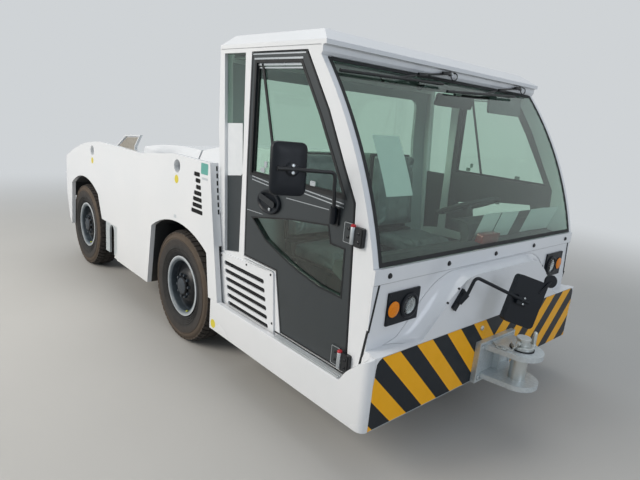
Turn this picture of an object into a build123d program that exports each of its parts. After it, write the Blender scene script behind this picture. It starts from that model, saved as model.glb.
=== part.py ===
from build123d import *
import os
from math import cos, radians, sin

os.makedirs("parts", exist_ok=True)

# A pushback tractor, in millimetres: +X forward, +Y to its left, +Z up, the floor at Z = 0.
# A size named *_back is measured rearwards from the face of the striped bumper, and tail() turns a distance
# ahead of the body's rear end into one.
# Tables of (back, height) pairs are outlines seen from the side.

# Overall sizes
body_length = 4446
body_width = 2200
cab_step = 60
skirt_height = 300
front_hitch_reach = 296
rear_hitch_reach = 250

# Wheels and axles
tyre_diameter = 820
tyre_width = 225
tyre_shoulder = 34
rim_flange_radius = 222
bead_radius = 190
front_axle_back = 1906
rear_overhang = 461
wheel_inset = 40
kingpin_inset = 180
kingpin_radius = 24
spindle_radius = 55
running_clearance = 0.05
axle_beam_width = 110
axle_beam_height = 120

# Walls, plates and gaps
side_plate = 35
sheet = 8
door_thickness = 40
glass_thickness = 6
door_gap = 7
moving_gap = 6
seat_gap = 0.3
stop_gap = 14

# Heights
bumper_top = 675
sill_top = 498
deck_top = 1040
cab_floor_top = 500
gutter_height = 2036
roof_top = 2122
axle_height = tyre_diameter / 2
chassis_bottom = 330

# Hitches
hitch_plate = 30
hitch_lower = 325
hitch_gap = 150
hitch_pin_back = -176
hitch_pin_radius = 47
hitch_nose_radius = front_hitch_reach + hitch_pin_back
hitch_base_half = 195
hitch_base_bottom = 304
hitch_base_top = 550
rear_pin_reach = 150
rear_pin_radius = 26

# Doors and lid
hinge_axis_back = 228
hinge_axis_out = 20
hinge_pin_radius = 7
hinge_heights = (598, 1197)
hood_front_back = 2556
hood_rear_ahead = 746
hood_half = 590
hood_hinge_height = 1352

# Sizes that follow from the ones above
body_half = body_width / 2
cab_half = body_half - cab_step
cab_width = 2 * cab_half
wheel_face = body_half - wheel_inset
kingpin_offset = wheel_face - kingpin_inset
rear_axle_back = body_length - rear_overhang
hood_rear_back = body_length - hood_rear_ahead
tyre_radius = tyre_diameter / 2
bumper_x = (body_length + rear_hitch_reach - front_hitch_reach) / 2
sides = {"right": -1, "left": 1}


def x_at(back):
    return bumper_x - back


def tail(ahead):
    return body_length - ahead


def outline(table):
    return [(x_at(back), height) for back, height in table]


def slab(sign, near, far):
    """The plane a slab between |Y| = near and far starts on; it is extruded by near - far."""
    return Plane.XZ.offset(far if sign < 0 else -near)


def save(part, label):
    part.label = label
    export_step(part, f"parts/{label}.step")


# Side plates: a curved top, two wheel arches, a lashing recess, two round holes and vent slots
panel_front = [(1307, sill_top), (1414, 1078), (1459, 1364)]
panel_crest = [(1459, 1364), (1961, 1366), (2494, 1304), (tail(1210), 1301)]
crest_radii = [700, 900]
panel_tail = [(tail(10), 1054), (body_length, 676), (tail(85), 413), (tail(149), 359)]
tail_crown = (tail(607), 1244)
front_arch = {"rear_foot": (2374, skirt_height), "rear": (2307, 781), "crown": (1886, 900),
              "front": (1465, 786), "front_foot": (1388, skirt_height)}
rear_arch = {"rear": (tail(184), 803), "crown": (tail(587), 921), "front": (tail(958), 810),
             "front_foot": (tail(1057), 600)}
recess_front_back = tail(1428)
hole_radius = 45
side_holes = [(tail(821), 1199), (1901, 1287)]
vent_height = 28
# centre back, height, length of each vent slot
vent_slots = [(1621, 1272, 78), (1605, 1232, 65), (1596, 1190, 65), (1603, 1150, 99),
              (1606, 1110, 117), (1605, 1070, 127), (1607, 1030, 150)]
# The panel's front return, with its own column of short vents: (low point, high point) along the panel's edge
return_edge = [(1372, 850), *panel_front[1:]]
return_depth = 23
return_sheet = 6
return_vents = {"count": 7, "low": (1411, 1063), "high": (1453, 1330), "tall": 30, "wide": 12}

for side, sign in sides.items():
    with BuildPart() as side_panel:
        with BuildSketch(slab(sign, body_half - side_plate, body_half)):
            with BuildLine():
                Polyline(outline(panel_front))
                FilletPolyline(outline(panel_crest), radius=crest_radii)
                ThreePointArc(*outline([panel_crest[-1], tail_crown, panel_tail[0]]))
                Polyline(outline(panel_tail + [rear_arch["rear"]]))
                ThreePointArc(*outline([rear_arch[key] for key in ("rear", "crown", "front")]))
                Polyline(outline([rear_arch["front"], rear_arch["front_foot"],
                                  (recess_front_back, rear_arch["front_foot"][1]),
                                  (recess_front_back, skirt_height),
                                  front_arch["rear_foot"], front_arch["rear"]]))
                ThreePointArc(*outline([front_arch[key] for key in ("rear", "crown", "front")]))
                foot, top = front_arch["front_foot"], front_arch["front"]
                sill_share = (sill_top - foot[1]) / (top[1] - foot[1])
                arch_at_sill = foot[0] + (top[0] - foot[0]) * sill_share
                Polyline(outline([top, (arch_at_sill, sill_top), panel_front[0]]))
            make_face()
            with Locations(*outline(side_holes)):
                Circle(hole_radius, mode=Mode.SUBTRACT)
            for back, height, length in vent_slots:
                with Locations((x_at(back), height)):
                    RectangleRounded(length, vent_height, vent_height * 0.3, mode=Mode.SUBTRACT)
        extrude(amount=-side_plate)
        inner = body_half - side_plate
        with BuildSketch(slab(sign, inner - return_depth, inner)):
            return_rear = [(back + return_sheet, height) for back, height in return_edge[::-1]]
            Polygon(*outline(return_edge + return_rear), align=None)
        extrude(amount=-return_depth)
        for step in range(return_vents["count"]):
            share = step / (return_vents["count"] - 1)
            back, height = [low + (high - low) * share
                            for low, high in zip(return_vents["low"], return_vents["high"])]
            with Locations((x_at(back), sign * (inner - return_depth / 2), height)):
                Box(6 * return_sheet, return_vents["wide"], return_vents["tall"], mode=Mode.SUBTRACT)
    save(side_panel.part, f"side_panel_{side}")

# Sills below the doors, bent round the front corners up to the bumper
corner_radius = 43
corner_rise_back = 188
sill_rear_back = 1388
with BuildPart() as sills:
    for sign in sides.values():
        with BuildSketch(Plane.XY.offset(skirt_height)):
            with BuildLine():
                inner = body_half - side_plate
                front_y = body_half - corner_radius
                Polyline((x_at(corner_radius), sign * body_half), (x_at(sill_rear_back), sign * body_half),
                         (x_at(sill_rear_back), sign * inner), (x_at(corner_radius), sign * inner))
                Line((x_at(corner_radius), sign * inner), (x_at(side_plate), sign * front_y))
                Line((x_at(side_plate), sign * front_y), (x_at(0), sign * front_y))
                RadiusArc((x_at(0), sign * front_y), (x_at(corner_radius), sign * body_half),
                          corner_radius * -sign)
            make_face()
        extrude(amount=bumper_top - skirt_height)
    with BuildSketch(Plane.XZ.offset(-body_half)):
        with BuildLine():
            Polyline(outline([(sill_rear_back, sill_top), (corner_rise_back, sill_top),
                              (corner_rise_back - 30, bumper_top), (sill_rear_back, bumper_top)]),
                     close=True)
        make_face()
    extrude(amount=body_width, mode=Mode.SUBTRACT)
save(sills.part, "sills")

# Bumper plate with clipped lower corners
bumper_thick = 25
bumper_half = body_half - corner_radius - seat_gap
bumper_clip = {"across": 134, "up": 56}
bumper_corner = 18
with BuildPart() as bumper:
    with BuildSketch(Plane.YZ.offset(x_at(bumper_thick))) as bumper_face:
        clip_half, clip_top = bumper_half - bumper_clip["across"], skirt_height + bumper_clip["up"]
        Polygon((-bumper_half, bumper_top), (-bumper_half, clip_top), (-clip_half, skirt_height),
                (clip_half, skirt_height), (bumper_half, clip_top), (bumper_half, bumper_top), align=None)
        fillet(bumper_face.vertices().group_by(Axis.Y)[-1], radius=bumper_corner)
    extrude(amount=bumper_thick)
save(bumper.part, "bumper_plate")

# Nose panel: a ledge behind the bumper that turns up into the fascia
fascia_back = 85
fascia_sheet = 12
fascia_top = 992
strip_top = 1066
with BuildPart() as nose:
    with BuildSketch(Plane.XZ.offset(-cab_half)):
        with BuildLine():
            Polyline(outline([(bumper_thick, bumper_top), (fascia_back, bumper_top),
                              (fascia_back, fascia_top), (fascia_back + fascia_sheet, fascia_top),
                              (fascia_back + fascia_sheet, bumper_top - fascia_sheet),
                              (bumper_thick, bumper_top - fascia_sheet)]), close=True)
        make_face()
    extrude(amount=cab_width)
save(nose.part, "nose_panel")

# Raised centre cover: a flat face that coves out to a wide foot on the fascia. Each half outline is a table
# of (distance in from the cab's side, height).
cover_face = [(300, 676), (334, 692), (358, 712), (508, 833), (636, 945), (695, 963)]
cover_foot = [(190, 676), (240, 688), (290, 712), (415, 850), (540, 972), (620, 986)]
# back, share of the way from the face's outline to the foot's
cover_cove = [(fascia_back, 1.0), (72, 0.55), (44, 0.2), (0, 0.0)]
with BuildPart() as cover:
    for back, share in cover_cove:
        half_outline = [(cab_half - inset - (foot_inset - inset) * share, z + (foot_z - z) * share)
                        for (inset, z), (foot_inset, foot_z) in zip(cover_face, cover_foot)]
        with BuildSketch(Plane.YZ.offset(x_at(back))):
            Polygon(*[(-y, z) for y, z in half_outline], *half_outline[::-1], align=None)
    loft(ruled=True)
save(cover.part, "nose_cover")

# Bolted strip under the windscreen
with BuildPart() as strip:
    with BuildSketch(Plane.XZ.offset(-cab_half)):
        with BuildLine():
            Polyline(outline([(fascia_back - 3, fascia_top + 1), (fascia_back - 3, strip_top),
                              (fascia_back + fascia_sheet, strip_top),
                              (fascia_back + fascia_sheet, fascia_top + 1)]), close=True)
        make_face()
    extrude(amount=cab_width)
save(strip.part, "windscreen_strip")

# Cab sides: outline, door opening and quarter window, seen from the side
screen_foot = (95, 1070)
screen_bulge = (278, 1548)
screen_head = (572, 1986)
cab_floor_line = 455
frame_front_back = fascia_back + fascia_sheet
cab_outline_rest = [(575, gutter_height), (1490, gutter_height), (1472, 1566), (1379, 828),
                    (1343, cab_floor_line), (frame_front_back, cab_floor_line),
                    (frame_front_back, strip_top)]
door_outline = [(1157, 2016), (675, 2016), (479, 1740), (343, 1501), (247, 1340), (218, 933), (188, 508),
                (724, 508), (803, 849), (1122, 853), (1147, 1423)]
quarter_outline = [(1441, 2012), (1217, 2012), (1188, 1418), (1179, 860), (1342, 830)]
louvre_outline = [(1372, 812), (1343, 464), (766, 460), (812, 840)]
louvre_margin = 28
door_stop = 15
pillar_depth = 60
pillar_inner = cab_half - pillar_depth
door_inner = cab_half - door_thickness
screen_half = cab_half - 37

with BuildSketch(Plane.XZ) as cab_profile:
    with BuildLine():
        ThreePointArc(*outline([screen_foot, screen_bulge, screen_head]))
        Polyline(outline([screen_head] + cab_outline_rest + [screen_foot]))
    make_face()
with BuildSketch(Plane.XZ) as door_profile:
    Polygon(*outline(door_outline), align=None)
with BuildSketch(Plane.XZ) as stop_profile:
    Polygon(*outline(door_outline), align=None)
    offset(amount=-door_stop, kind=Kind.INTERSECTION)
with BuildSketch(Plane.XZ) as quarter_profile:
    Polygon(*outline(quarter_outline), align=None)
with BuildSketch(Plane.XZ) as louvre_profile:
    Polygon(*outline(louvre_outline), align=None)
    offset(amount=-louvre_margin, kind=Kind.INTERSECTION)
with BuildSketch(Plane.XZ) as screen_profile:
    with BuildLine():
        ThreePointArc(*outline([screen_foot, screen_bulge, screen_head]))
        offset(amount=glass_thickness, side=Side.LEFT)
    make_face()


header_front_back = 580
header_depth = 80
header_drop = 70
rail_height = 100
rail_depth = 60
cab_rear_foot = 1343
rear_rail = (1430, 1485)
rail_recess = 4
cross_rails = [
    # front back, rear back, bottom, top
    (header_front_back, header_front_back + header_depth, gutter_height - header_drop, gutter_height),
    (frame_front_back, frame_front_back + rail_depth, strip_top - rail_height, strip_top - rail_recess),
    (frame_front_back, frame_front_back + rail_depth, cab_floor_line, cab_floor_top - sheet),
    (cab_rear_foot - rail_depth, cab_rear_foot, cab_floor_line, cab_floor_top - sheet),
    (*rear_rail, gutter_height - header_drop, gutter_height),
]
with BuildPart() as cab_frame:
    for sign in sides.values():
        for near, far, opening in ((pillar_inner, door_inner - stop_gap, stop_profile),
                                   (door_inner - stop_gap, cab_half, door_profile)):
            with BuildSketch(slab(sign, near, far)):
                add(cab_profile.sketch_local)
                for profile in (opening, quarter_profile, louvre_profile):
                    add(profile.sketch_local, mode=Mode.SUBTRACT)
            extrude(amount=near - far)
    with BuildSketch(Plane.XZ.offset(-pillar_inner)):
        for front_back, back, bottom, top in cross_rails:
            with Locations((x_at(back), bottom)):
                Rectangle(back - front_back, top - bottom, align=(Align.MIN, Align.MIN))
    extrude(amount=2 * pillar_inner)
    with BuildSketch(Plane.XZ.offset(-screen_half)):
        add(screen_profile.sketch_local)
    extrude(amount=2 * screen_half, mode=Mode.SUBTRACT)
save(cab_frame.part, "cab_frame")

# Curved windscreen
with BuildPart() as windscreen:
    with BuildSketch(Plane.XZ.offset(seat_gap - screen_half)):
        add(screen_profile.sketch_local)
    extrude(amount=2 * (screen_half - seat_gap))
save(windscreen.part, "windscreen")

# Roof: a gutter slab under a low hipped top, hollow from below
roof_front_back = 540
roof_rear_back = 1482
roof_half = cab_half + 5
gutter_lip = 22
roof_wall = 26
roof_flat = {"front": 655, "rear": 1445, "half": cab_half - 75}
# The hollow band over the windscreen, from the glass up and forward to the lip
visor = [(571, 1989), (562, 2006), (562, 2032), (roof_front_back + 2, 2046), (roof_front_back + 20, 2052),
         (574.5, 2052), (574.5, gutter_height), (571.5, 1990)]


def roof_plan(front_back, back, half, height):
    with BuildSketch(Plane.XY.offset(height)) as plan:
        with Locations(((x_at(front_back) + x_at(back)) / 2, 0)):
            Rectangle(back - front_back, 2 * half)
    return plan.sketch


with BuildPart() as roof:
    add(roof_plan(roof_front_back, roof_rear_back, roof_half, gutter_height))
    extrude(amount=gutter_lip)
    add(roof_plan(roof_front_back, roof_rear_back, roof_half, gutter_height + gutter_lip))
    add(roof_plan(roof_flat["front"], roof_flat["rear"], roof_flat["half"], roof_top))
    loft(ruled=True)
with BuildPart() as roof_hollow:
    add(roof_plan(header_front_back + header_depth, rear_rail[0], pillar_inner, gutter_height))
    add(roof_plan(roof_flat["front"] + roof_wall, roof_flat["rear"] - roof_wall - 9,
                  roof_flat["half"] - roof_wall, roof_top - roof_wall))
    loft(ruled=True)
with BuildPart() as roof_shell:
    add(roof.part)
    with BuildSketch(Plane.XZ.offset(-roof_half)):
        Polygon(*outline(visor), align=None)
    extrude(amount=2 * roof_half)
    add(roof_hollow.part, mode=Mode.SUBTRACT)
save(roof_shell.part, "roof")

# Quarter windows over grey panels, and the louvre panels below them
quarter_split = 1320
quarter_inset = 20
quarter_sheet = 16
quarter_outer = cab_half - quarter_inset
quarter_reach = 900


def quarter_part(keep, thick):
    with BuildPart() as panes:
        for sign in sides.values():
            with BuildSketch(slab(sign, quarter_outer - thick, quarter_outer)):
                add(quarter_profile.sketch_local)
                with Locations((x_at(quarter_outline[0][0]), quarter_split)):
                    Rectangle(quarter_reach, quarter_reach, align=(Align.CENTER, keep), mode=Mode.INTERSECT)
            extrude(amount=-thick)
    return panes.part


save(quarter_part(Align.MAX, quarter_sheet), "quarter_panels")

# Rear wall of the cab along the leaning rear posts, with its window
wall_line = [(1345, cab_floor_top + 1), (1379, 828), (1472, 1566), (1487, gutter_height - header_drop - 1)]
wall_thick = 26
wall_half = pillar_inner - seat_gap
rear_window = {"half": cab_half - 210, "bottom": 1190, "top": 1900, "corner": 60}


def wall_section(front_inset, rear_inset):
    """The rear wall's outline between two depths from its rear face."""
    rear = [(back - rear_inset, height) for back, height in wall_line]
    front = [(back - front_inset, height) for back, height in reversed(wall_line)]
    return outline(rear + front)


window_tall = rear_window["top"] - rear_window["bottom"]
with BuildPart() as rear_wall:
    with BuildSketch(Plane.XZ.offset(-wall_half)):
        Polygon(*wall_section(wall_thick, 0), align=None)
    extrude(amount=2 * wall_half)
    with BuildSketch(Plane.YZ.offset(x_at(body_length))):
        with Locations((0, rear_window["bottom"] + window_tall / 2)):
            RectangleRounded(2 * rear_window["half"], window_tall, rear_window["corner"])
    extrude(amount=body_length, mode=Mode.SUBTRACT)
save(rear_wall.part, "cab_rear_wall")

glass_inset = (wall_thick - glass_thickness) / 2
with BuildPart() as cab_windows:
    with BuildSketch(Plane.XZ.offset(-wall_half)):
        Polygon(*wall_section(glass_inset + glass_thickness, glass_inset), align=None)
    extrude(amount=2 * wall_half)
    with BuildSketch(Plane.YZ.offset(x_at(body_length))):
        with Locations((0, rear_window["bottom"] + window_tall / 2)):
            RectangleRounded(2 * rear_window["half"], window_tall, rear_window["corner"])
    extrude(amount=body_length, mode=Mode.INTERSECT)
    add(quarter_part(Align.MIN, glass_thickness))
save(cab_windows.part, "cab_windows")

louvre_sheet = 10
louvre_count = 6
louvre_first = (1107, 760)
louvre_last = (1040, 510)
louvre_slot = 27
louvre_length = 430
with BuildPart() as louvres:
    for sign in sides.values():
        with BuildSketch(slab(sign, cab_half, cab_half + louvre_sheet)):
            Polygon(*outline(louvre_outline), align=None)
            for row in range(louvre_count):
                share = row / (louvre_count - 1)
                with Locations((x_at(louvre_first[0] + (louvre_last[0] - louvre_first[0]) * share),
                                louvre_first[1] + (louvre_last[1] - louvre_first[1]) * share)):
                    SlotOverall(louvre_length, louvre_slot, mode=Mode.SUBTRACT)
        extrude(amount=-louvre_sheet)
save(louvres.part, "louvre_panels")

# Cab floor, dashboard, steering wheel and seats
with BuildPart() as cab_floor:
    with BuildSketch(Plane.XY.offset(cab_floor_top - sheet)):
        with Locations((x_at(cab_rear_foot), 0)):
            Rectangle(cab_rear_foot - frame_front_back, 2 * pillar_inner, align=(Align.MIN, Align.CENTER))
    extrude(amount=sheet)
save(cab_floor.part, "cab_floor")

seat_side = 400
dash_front = frame_front_back + rail_depth + 2
dash_half = pillar_inner - 12
dash_foot = cab_floor_top + seat_gap
dash_outline = [(dash_front, dash_foot), (dash_front, 1050), (250, 1062), (420, 1015), (428, 955),
                (300, 900), (240, dash_foot)]
binnacle_outline = [(400, 1000), (300, 1056), (372, 1128), (392, 1134), (440, 1030), (430, 990)]
binnacle_half = 170
with BuildPart() as dashboard:
    with BuildSketch(Plane.XZ.offset(-dash_half)):
        Polygon(*outline(dash_outline), align=None)
    extrude(amount=2 * dash_half)
    with BuildSketch(Plane.XZ.offset(-seat_side - binnacle_half)):
        Polygon(*outline(binnacle_outline), align=None)
    extrude(amount=2 * binnacle_half)
save(dashboard.part, "dashboard")

seat_width = 480
wheel_centre = (560, 1195)
wheel_tilt = 24
wheel_rim = 205
wheel_grip = 13
wheel_hub = 55
spoke_width = 26
spoke_sheet = 16
column_radius = 32
column_lean = 0.2
column_length = 900
with BuildPart() as steering_wheel:
    hub = Plane(origin=(x_at(wheel_centre[0]), seat_side, wheel_centre[1]),
                x_dir=(0, 1, 0), z_dir=(-sin(radians(wheel_tilt)), 0, cos(radians(wheel_tilt))))
    with BuildSketch(Plane(origin=hub.origin, x_dir=hub.x_dir, z_dir=hub.y_dir)):
        with Locations((wheel_rim, 0)):
            Circle(wheel_grip)
    revolve(axis=Axis(hub.origin, hub.z_dir))
    with BuildSketch(hub.offset(-spoke_sheet / 2)):
        for angle in (90, 210, 330):
            with Locations(Rotation(0, 0, angle)):
                Rectangle(wheel_rim, spoke_width, align=(Align.MIN, Align.CENTER))
        Circle(wheel_hub)
    extrude(amount=spoke_sheet)
    with BuildSketch(Plane(origin=hub.origin, z_dir=(column_lean, 0, -1))):
        Circle(column_radius)
    extrude(amount=column_length)
    with BuildSketch(Plane.XY.offset(dash_foot)):
        with Locations((hub.origin.X, seat_side)):
            Rectangle(column_length, column_length)
    extrude(amount=-column_length, mode=Mode.SUBTRACT)
    with BuildSketch(Plane.XZ.offset(-seat_side - binnacle_half - moving_gap)):
        Polygon(*outline(dash_outline), align=None)
        Polygon(*outline(binnacle_outline), align=None)
        offset(amount=moving_gap, kind=Kind.INTERSECTION)
    extrude(amount=2 * (binnacle_half + moving_gap), mode=Mode.SUBTRACT)
save(steering_wheel.part, "steering_wheel")

seat_outline = [(830, dash_foot), (830, 760), (760, 780), (755, 880), (1150, 900), (1215, 1480),
                (1320, 1480), (1290, 1200), (1250, 800), (1150, 760), (1150, dash_foot)]
with BuildPart() as seats:
    for centre in (seat_side, -seat_side):
        with BuildSketch(Plane.XZ.offset(-centre - seat_width / 2)):
            Polygon(*outline(seat_outline), align=None)
        extrude(amount=seat_width)
save(seats.part, "seats")

# Welded chassis: two side rails that rise over the axles, and the plates across them
rail_inner = 480
rail_outer = 560
rear_plate_foot = (tail(130), 413)
rear_plate_bend = (tail(44), 676)
rear_hitch_ahead = 36


def rear_plate_inner(height):
    """How far back the rear bumper's sloping inner face is at a height."""
    share = (height - rear_plate_foot[1]) / (rear_plate_bend[1] - rear_plate_foot[1])
    return rear_plate_foot[0] + (rear_plate_bend[0] - rear_plate_foot[0]) * share


rail_bottom = 490
rail_top = 640
rail_front = 56
rail_outline = [(rail_front, chassis_bottom), (rail_front, cab_floor_line), (1385, cab_floor_line),
                (1500, rail_top),
                (rear_plate_inner(rail_top), rail_top), (rear_plate_inner(rail_bottom), rail_bottom),
                (1560, rail_bottom), (1430, chassis_bottom)]
engine_bottom = 520
cross_plates = [
    # front back, rear back, half width, bottom, top
    (bumper_thick, rail_front, bumper_half - 157, chassis_bottom + 30, 655),
    (300, 340, body_half - side_plate, chassis_bottom, 450),
    (1240, 1280, body_half - side_plate, chassis_bottom, 450),
    (2400, 2460, rail_inner, 500, 630),
    (2740, 2800, rail_inner, rail_bottom, engine_bottom),
    (tail(1246), tail(1186), rail_inner, rail_bottom, engine_bottom),
    (tail(1006), tail(946), rail_inner, 500, 630),
    (tail(176), tail(136), rail_inner, hitch_base_bottom, rail_top),
    (tail(136), tail(rear_hitch_ahead), hitch_base_half, hitch_base_bottom, hitch_base_top),
]
with BuildPart() as chassis:
    for sign in sides.values():
        with BuildSketch(slab(sign, rail_inner, rail_outer)):
            Polygon(*outline(rail_outline), align=None)
        extrude(amount=rail_inner - rail_outer)
    for front_back, back, half, bottom, top in cross_plates:
        with BuildSketch(Plane.XY.offset(bottom)):
            with Locations((x_at(back), 0)):
                Rectangle(back - front_back, 2 * half, align=(Align.MIN, Align.CENTER))
        extrude(amount=top - bottom)
save(chassis.part, "chassis_frame")

# Front axle beam between the kingpin bosses, on pads under the rails
boss_radius = 40
boss_half_height = axle_beam_height / 2
with BuildPart() as front_axle:
    with BuildSketch(Plane.XY.offset(axle_height - boss_half_height)):
        with Locations((x_at(front_axle_back), 0)):
            Rectangle(axle_beam_width, 2 * kingpin_offset)
            with Locations((0, kingpin_offset), (0, -kingpin_offset)):
                Circle(boss_radius)
    extrude(amount=axle_beam_height)
    with BuildSketch(Plane.XY.offset(axle_height + boss_half_height)):
        with Locations((x_at(front_axle_back), (rail_inner + rail_outer) / 2),
                       (x_at(front_axle_back), -(rail_inner + rail_outer) / 2)):
            Rectangle(axle_beam_width, rail_outer - rail_inner)
    extrude(amount=rail_bottom - axle_height - boss_half_height)
    with BuildSketch(Plane.XY.offset(axle_height - boss_half_height)):
        for sign in sides.values():
            with Locations((x_at(front_axle_back), sign * kingpin_offset)):
                Circle(kingpin_radius + running_clearance)
    extrude(amount=axle_beam_height, mode=Mode.SUBTRACT)
    with BuildSketch(Plane.XY.offset(axle_height - boss_half_height)):
        for sign in sides.values():
            with Locations((x_at(front_axle_back), sign * (kingpin_offset + 50))):
                Rectangle(200, 100)
                with Locations((0, -sign * 50)):
                    Circle(boss_radius, mode=Mode.SUBTRACT)
    extrude(amount=axle_beam_height, mode=Mode.SUBTRACT)
save(front_axle.part, "front_axle")

# Rear axle: tubes, a round differential housing, pads and the fixed spindles
wheel_middle = wheel_face - tyre_width / 2
hub_inner = 30
hub_outer = 74
hub_cap_inner = 92
hub_cap_outer = 100
spindle_end = wheel_middle + hub_cap_inner - moving_gap
tube_radius = 62
with BuildPart() as rear_axle:
    with BuildSketch(Plane.XZ.offset(-(wheel_middle - moving_gap))):
        with Locations((x_at(rear_axle_back), axle_height)):
            Circle(tube_radius)
    extrude(amount=2 * (wheel_middle - moving_gap))
    with BuildSketch(Plane.XZ.offset(-spindle_end)):
        with Locations((x_at(rear_axle_back), axle_height)):
            Circle(spindle_radius)
    extrude(amount=2 * spindle_end)
    with Locations((x_at(rear_axle_back), 0, axle_height)):
        Sphere(150)
    with BuildSketch(Plane.XY.offset(axle_height)):
        with Locations((x_at(rear_axle_back), (rail_inner + rail_outer) / 2),
                       (x_at(rear_axle_back), -(rail_inner + rail_outer) / 2)):
            Rectangle(axle_beam_width, rail_outer - rail_inner)
    extrude(amount=rail_bottom - axle_height)
save(rear_axle.part, "rear_axle")

# Steering knuckles: a yoke round the axle's boss, the kingpin and the wheel's spindle
yoke_ear = 28
yoke_half = 42
yoke_reach = boss_half_height + moving_gap
for side, sign in sides.items():
    with BuildPart() as knuckle:
        for bottom in (axle_height + yoke_reach, axle_height - yoke_reach - yoke_ear):
            with BuildSketch(Plane.XY.offset(bottom)):
                with Locations((x_at(front_axle_back), sign * kingpin_offset)):
                    Circle(yoke_half)
                    with Locations((0, sign * 33)):
                        Rectangle(2 * yoke_half, 66)
            extrude(amount=yoke_ear)
        with BuildSketch(Plane.XY.offset(axle_height - yoke_reach - yoke_ear)):
            with Locations((x_at(front_axle_back), sign * (kingpin_offset + 56))):
                Rectangle(2 * yoke_half, 20)
        extrude(amount=2 * (yoke_reach + yoke_ear))
        with BuildSketch(Plane.XY.offset(axle_height - yoke_reach - yoke_ear)):
            with Locations((x_at(front_axle_back), sign * kingpin_offset)):
                Circle(kingpin_radius)
        extrude(amount=2 * (yoke_reach + yoke_ear))
        with BuildSketch(Plane.XZ.offset(-sign * (kingpin_offset + 56))):
            with Locations((x_at(front_axle_back), axle_height)):
                Circle(spindle_radius)
        extrude(amount=-sign * (spindle_end - kingpin_offset - 56))
    save(knuckle.part, f"knuckle_{side}")

# Wheels: a dished disc with a capped hub on a fixed spindle, and a road tyre
rim_section = [
    # radius, distance out from the wheel's middle
    (0, hub_cap_inner), (0, hub_cap_outer), (58, hub_cap_outer), (66, 92), (66, hub_outer),
    (104, hub_outer), (124, 58), (152, 38), (182, 32), (184, 82), (210, 96), (rim_flange_radius, 94),
    (rim_flange_radius, 87), (200, 80), (bead_radius, 70), (bead_radius, -70), (200, -80),
    (rim_flange_radius, -87), (rim_flange_radius, -94), (182, -86), (182, 14), (152, 20), (112, 40),
    (100, hub_inner), (spindle_radius + running_clearance, hub_inner),
    (spindle_radius + running_clearance, hub_cap_inner),
]
tyre_section = [
    (bead_radius + seat_gap, -66), (rim_flange_radius, -80), (238, -100), (290, -tyre_width / 2),
    (330, -tyre_width / 2), (tyre_radius - tyre_shoulder, -104), (tyre_radius - 8, -92),
    (tyre_radius, -78), (tyre_radius, 78), (tyre_radius - 8, 92), (tyre_radius - tyre_shoulder, 104),
    (330, tyre_width / 2), (290, tyre_width / 2), (238, 100), (rim_flange_radius, 80),
    (bead_radius + seat_gap, 66),
]
axles = {"front": front_axle_back, "rear": rear_axle_back}
for axle, back in axles.items():
    for side, sign in sides.items():
        for label, section in (("rim", rim_section), ("tyre", tyre_section)):
            with BuildPart() as wheel_piece:
                with BuildSketch(Plane(origin=(x_at(back), sign * wheel_middle, axle_height),
                                       x_dir=(0, 0, 1), z_dir=(-sign, 0, 0))):
                    Polygon(*[(radius, out) for radius, out in section], align=None)
                revolve(axis=Axis((x_at(back), sign * wheel_middle, axle_height), (0, 1, 0)))
            save(wheel_piece.part, f"{label}_{axle}_{side}")

# Doors: one welded frame each, with a sliding-glass opening above the belt and a swept pane below it
belt_top = 1352
upper_opening = [(1098, belt_top), (1108, 1962), (716, 1962), (545, 1718), (410, 1500), (322, belt_top)]
lower_opening = [(1063, 1105), (712, 1168), (413, 1202), (385, 1118), (286, 1115), (277, 872), (443, 875),
                 (611, 906), (768, 950), (918, 1002)]
glass_from_face = 15
for side, sign in sides.items():
    with BuildPart() as door:
        with BuildSketch(slab(sign, door_inner, cab_half)):
            Polygon(*outline(door_outline), align=None)
            offset(amount=-door_gap, kind=Kind.INTERSECTION)
            Polygon(*outline(upper_opening), align=None, mode=Mode.SUBTRACT)
            Polygon(*outline(lower_opening), align=None, mode=Mode.SUBTRACT)
        extrude(amount=-door_thickness)
    save(door.part, f"door_{side}")
    with BuildPart() as door_glass:
        far = cab_half - glass_from_face
        with BuildSketch(slab(sign, far - glass_thickness, far)):
            Polygon(*outline(upper_opening), align=None)
            Polygon(*outline(lower_opening), align=None)
        extrude(amount=-glass_thickness)
    save(door_glass.part, f"door_glass_{side}")

# Door hinges: fixed knuckles with the pin on the pillar, a moving knuckle and leaf on the door
hinge_radius = 13
hinge_neck = 8
moving_knuckle = 44
fixed_knuckle = 18
knuckle_gap = 1
leaf_out = 8
leaf_sheet = 10
leaf_length = 84
leaf_foot = 34
handle_at = (899, 1224)
handle_radius = 62
hinge_out = cab_half + hinge_axis_out
hinge_x = x_at(hinge_axis_back)
neck_x = hinge_x + hinge_radius + hinge_neck
fixed_reach = moving_knuckle / 2 + knuckle_gap + fixed_knuckle


def block(side, low, high, mode=Mode.ADD):
    """A box between two corners, mirrored to the right side when side is -1."""
    x, y, z = [(near + far) / 2 for near, far in zip(low, high)]
    with Locations((x, side * y, z)):
        Box(*[abs(far - near) for near, far in zip(low, high)], mode=mode)


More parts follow.
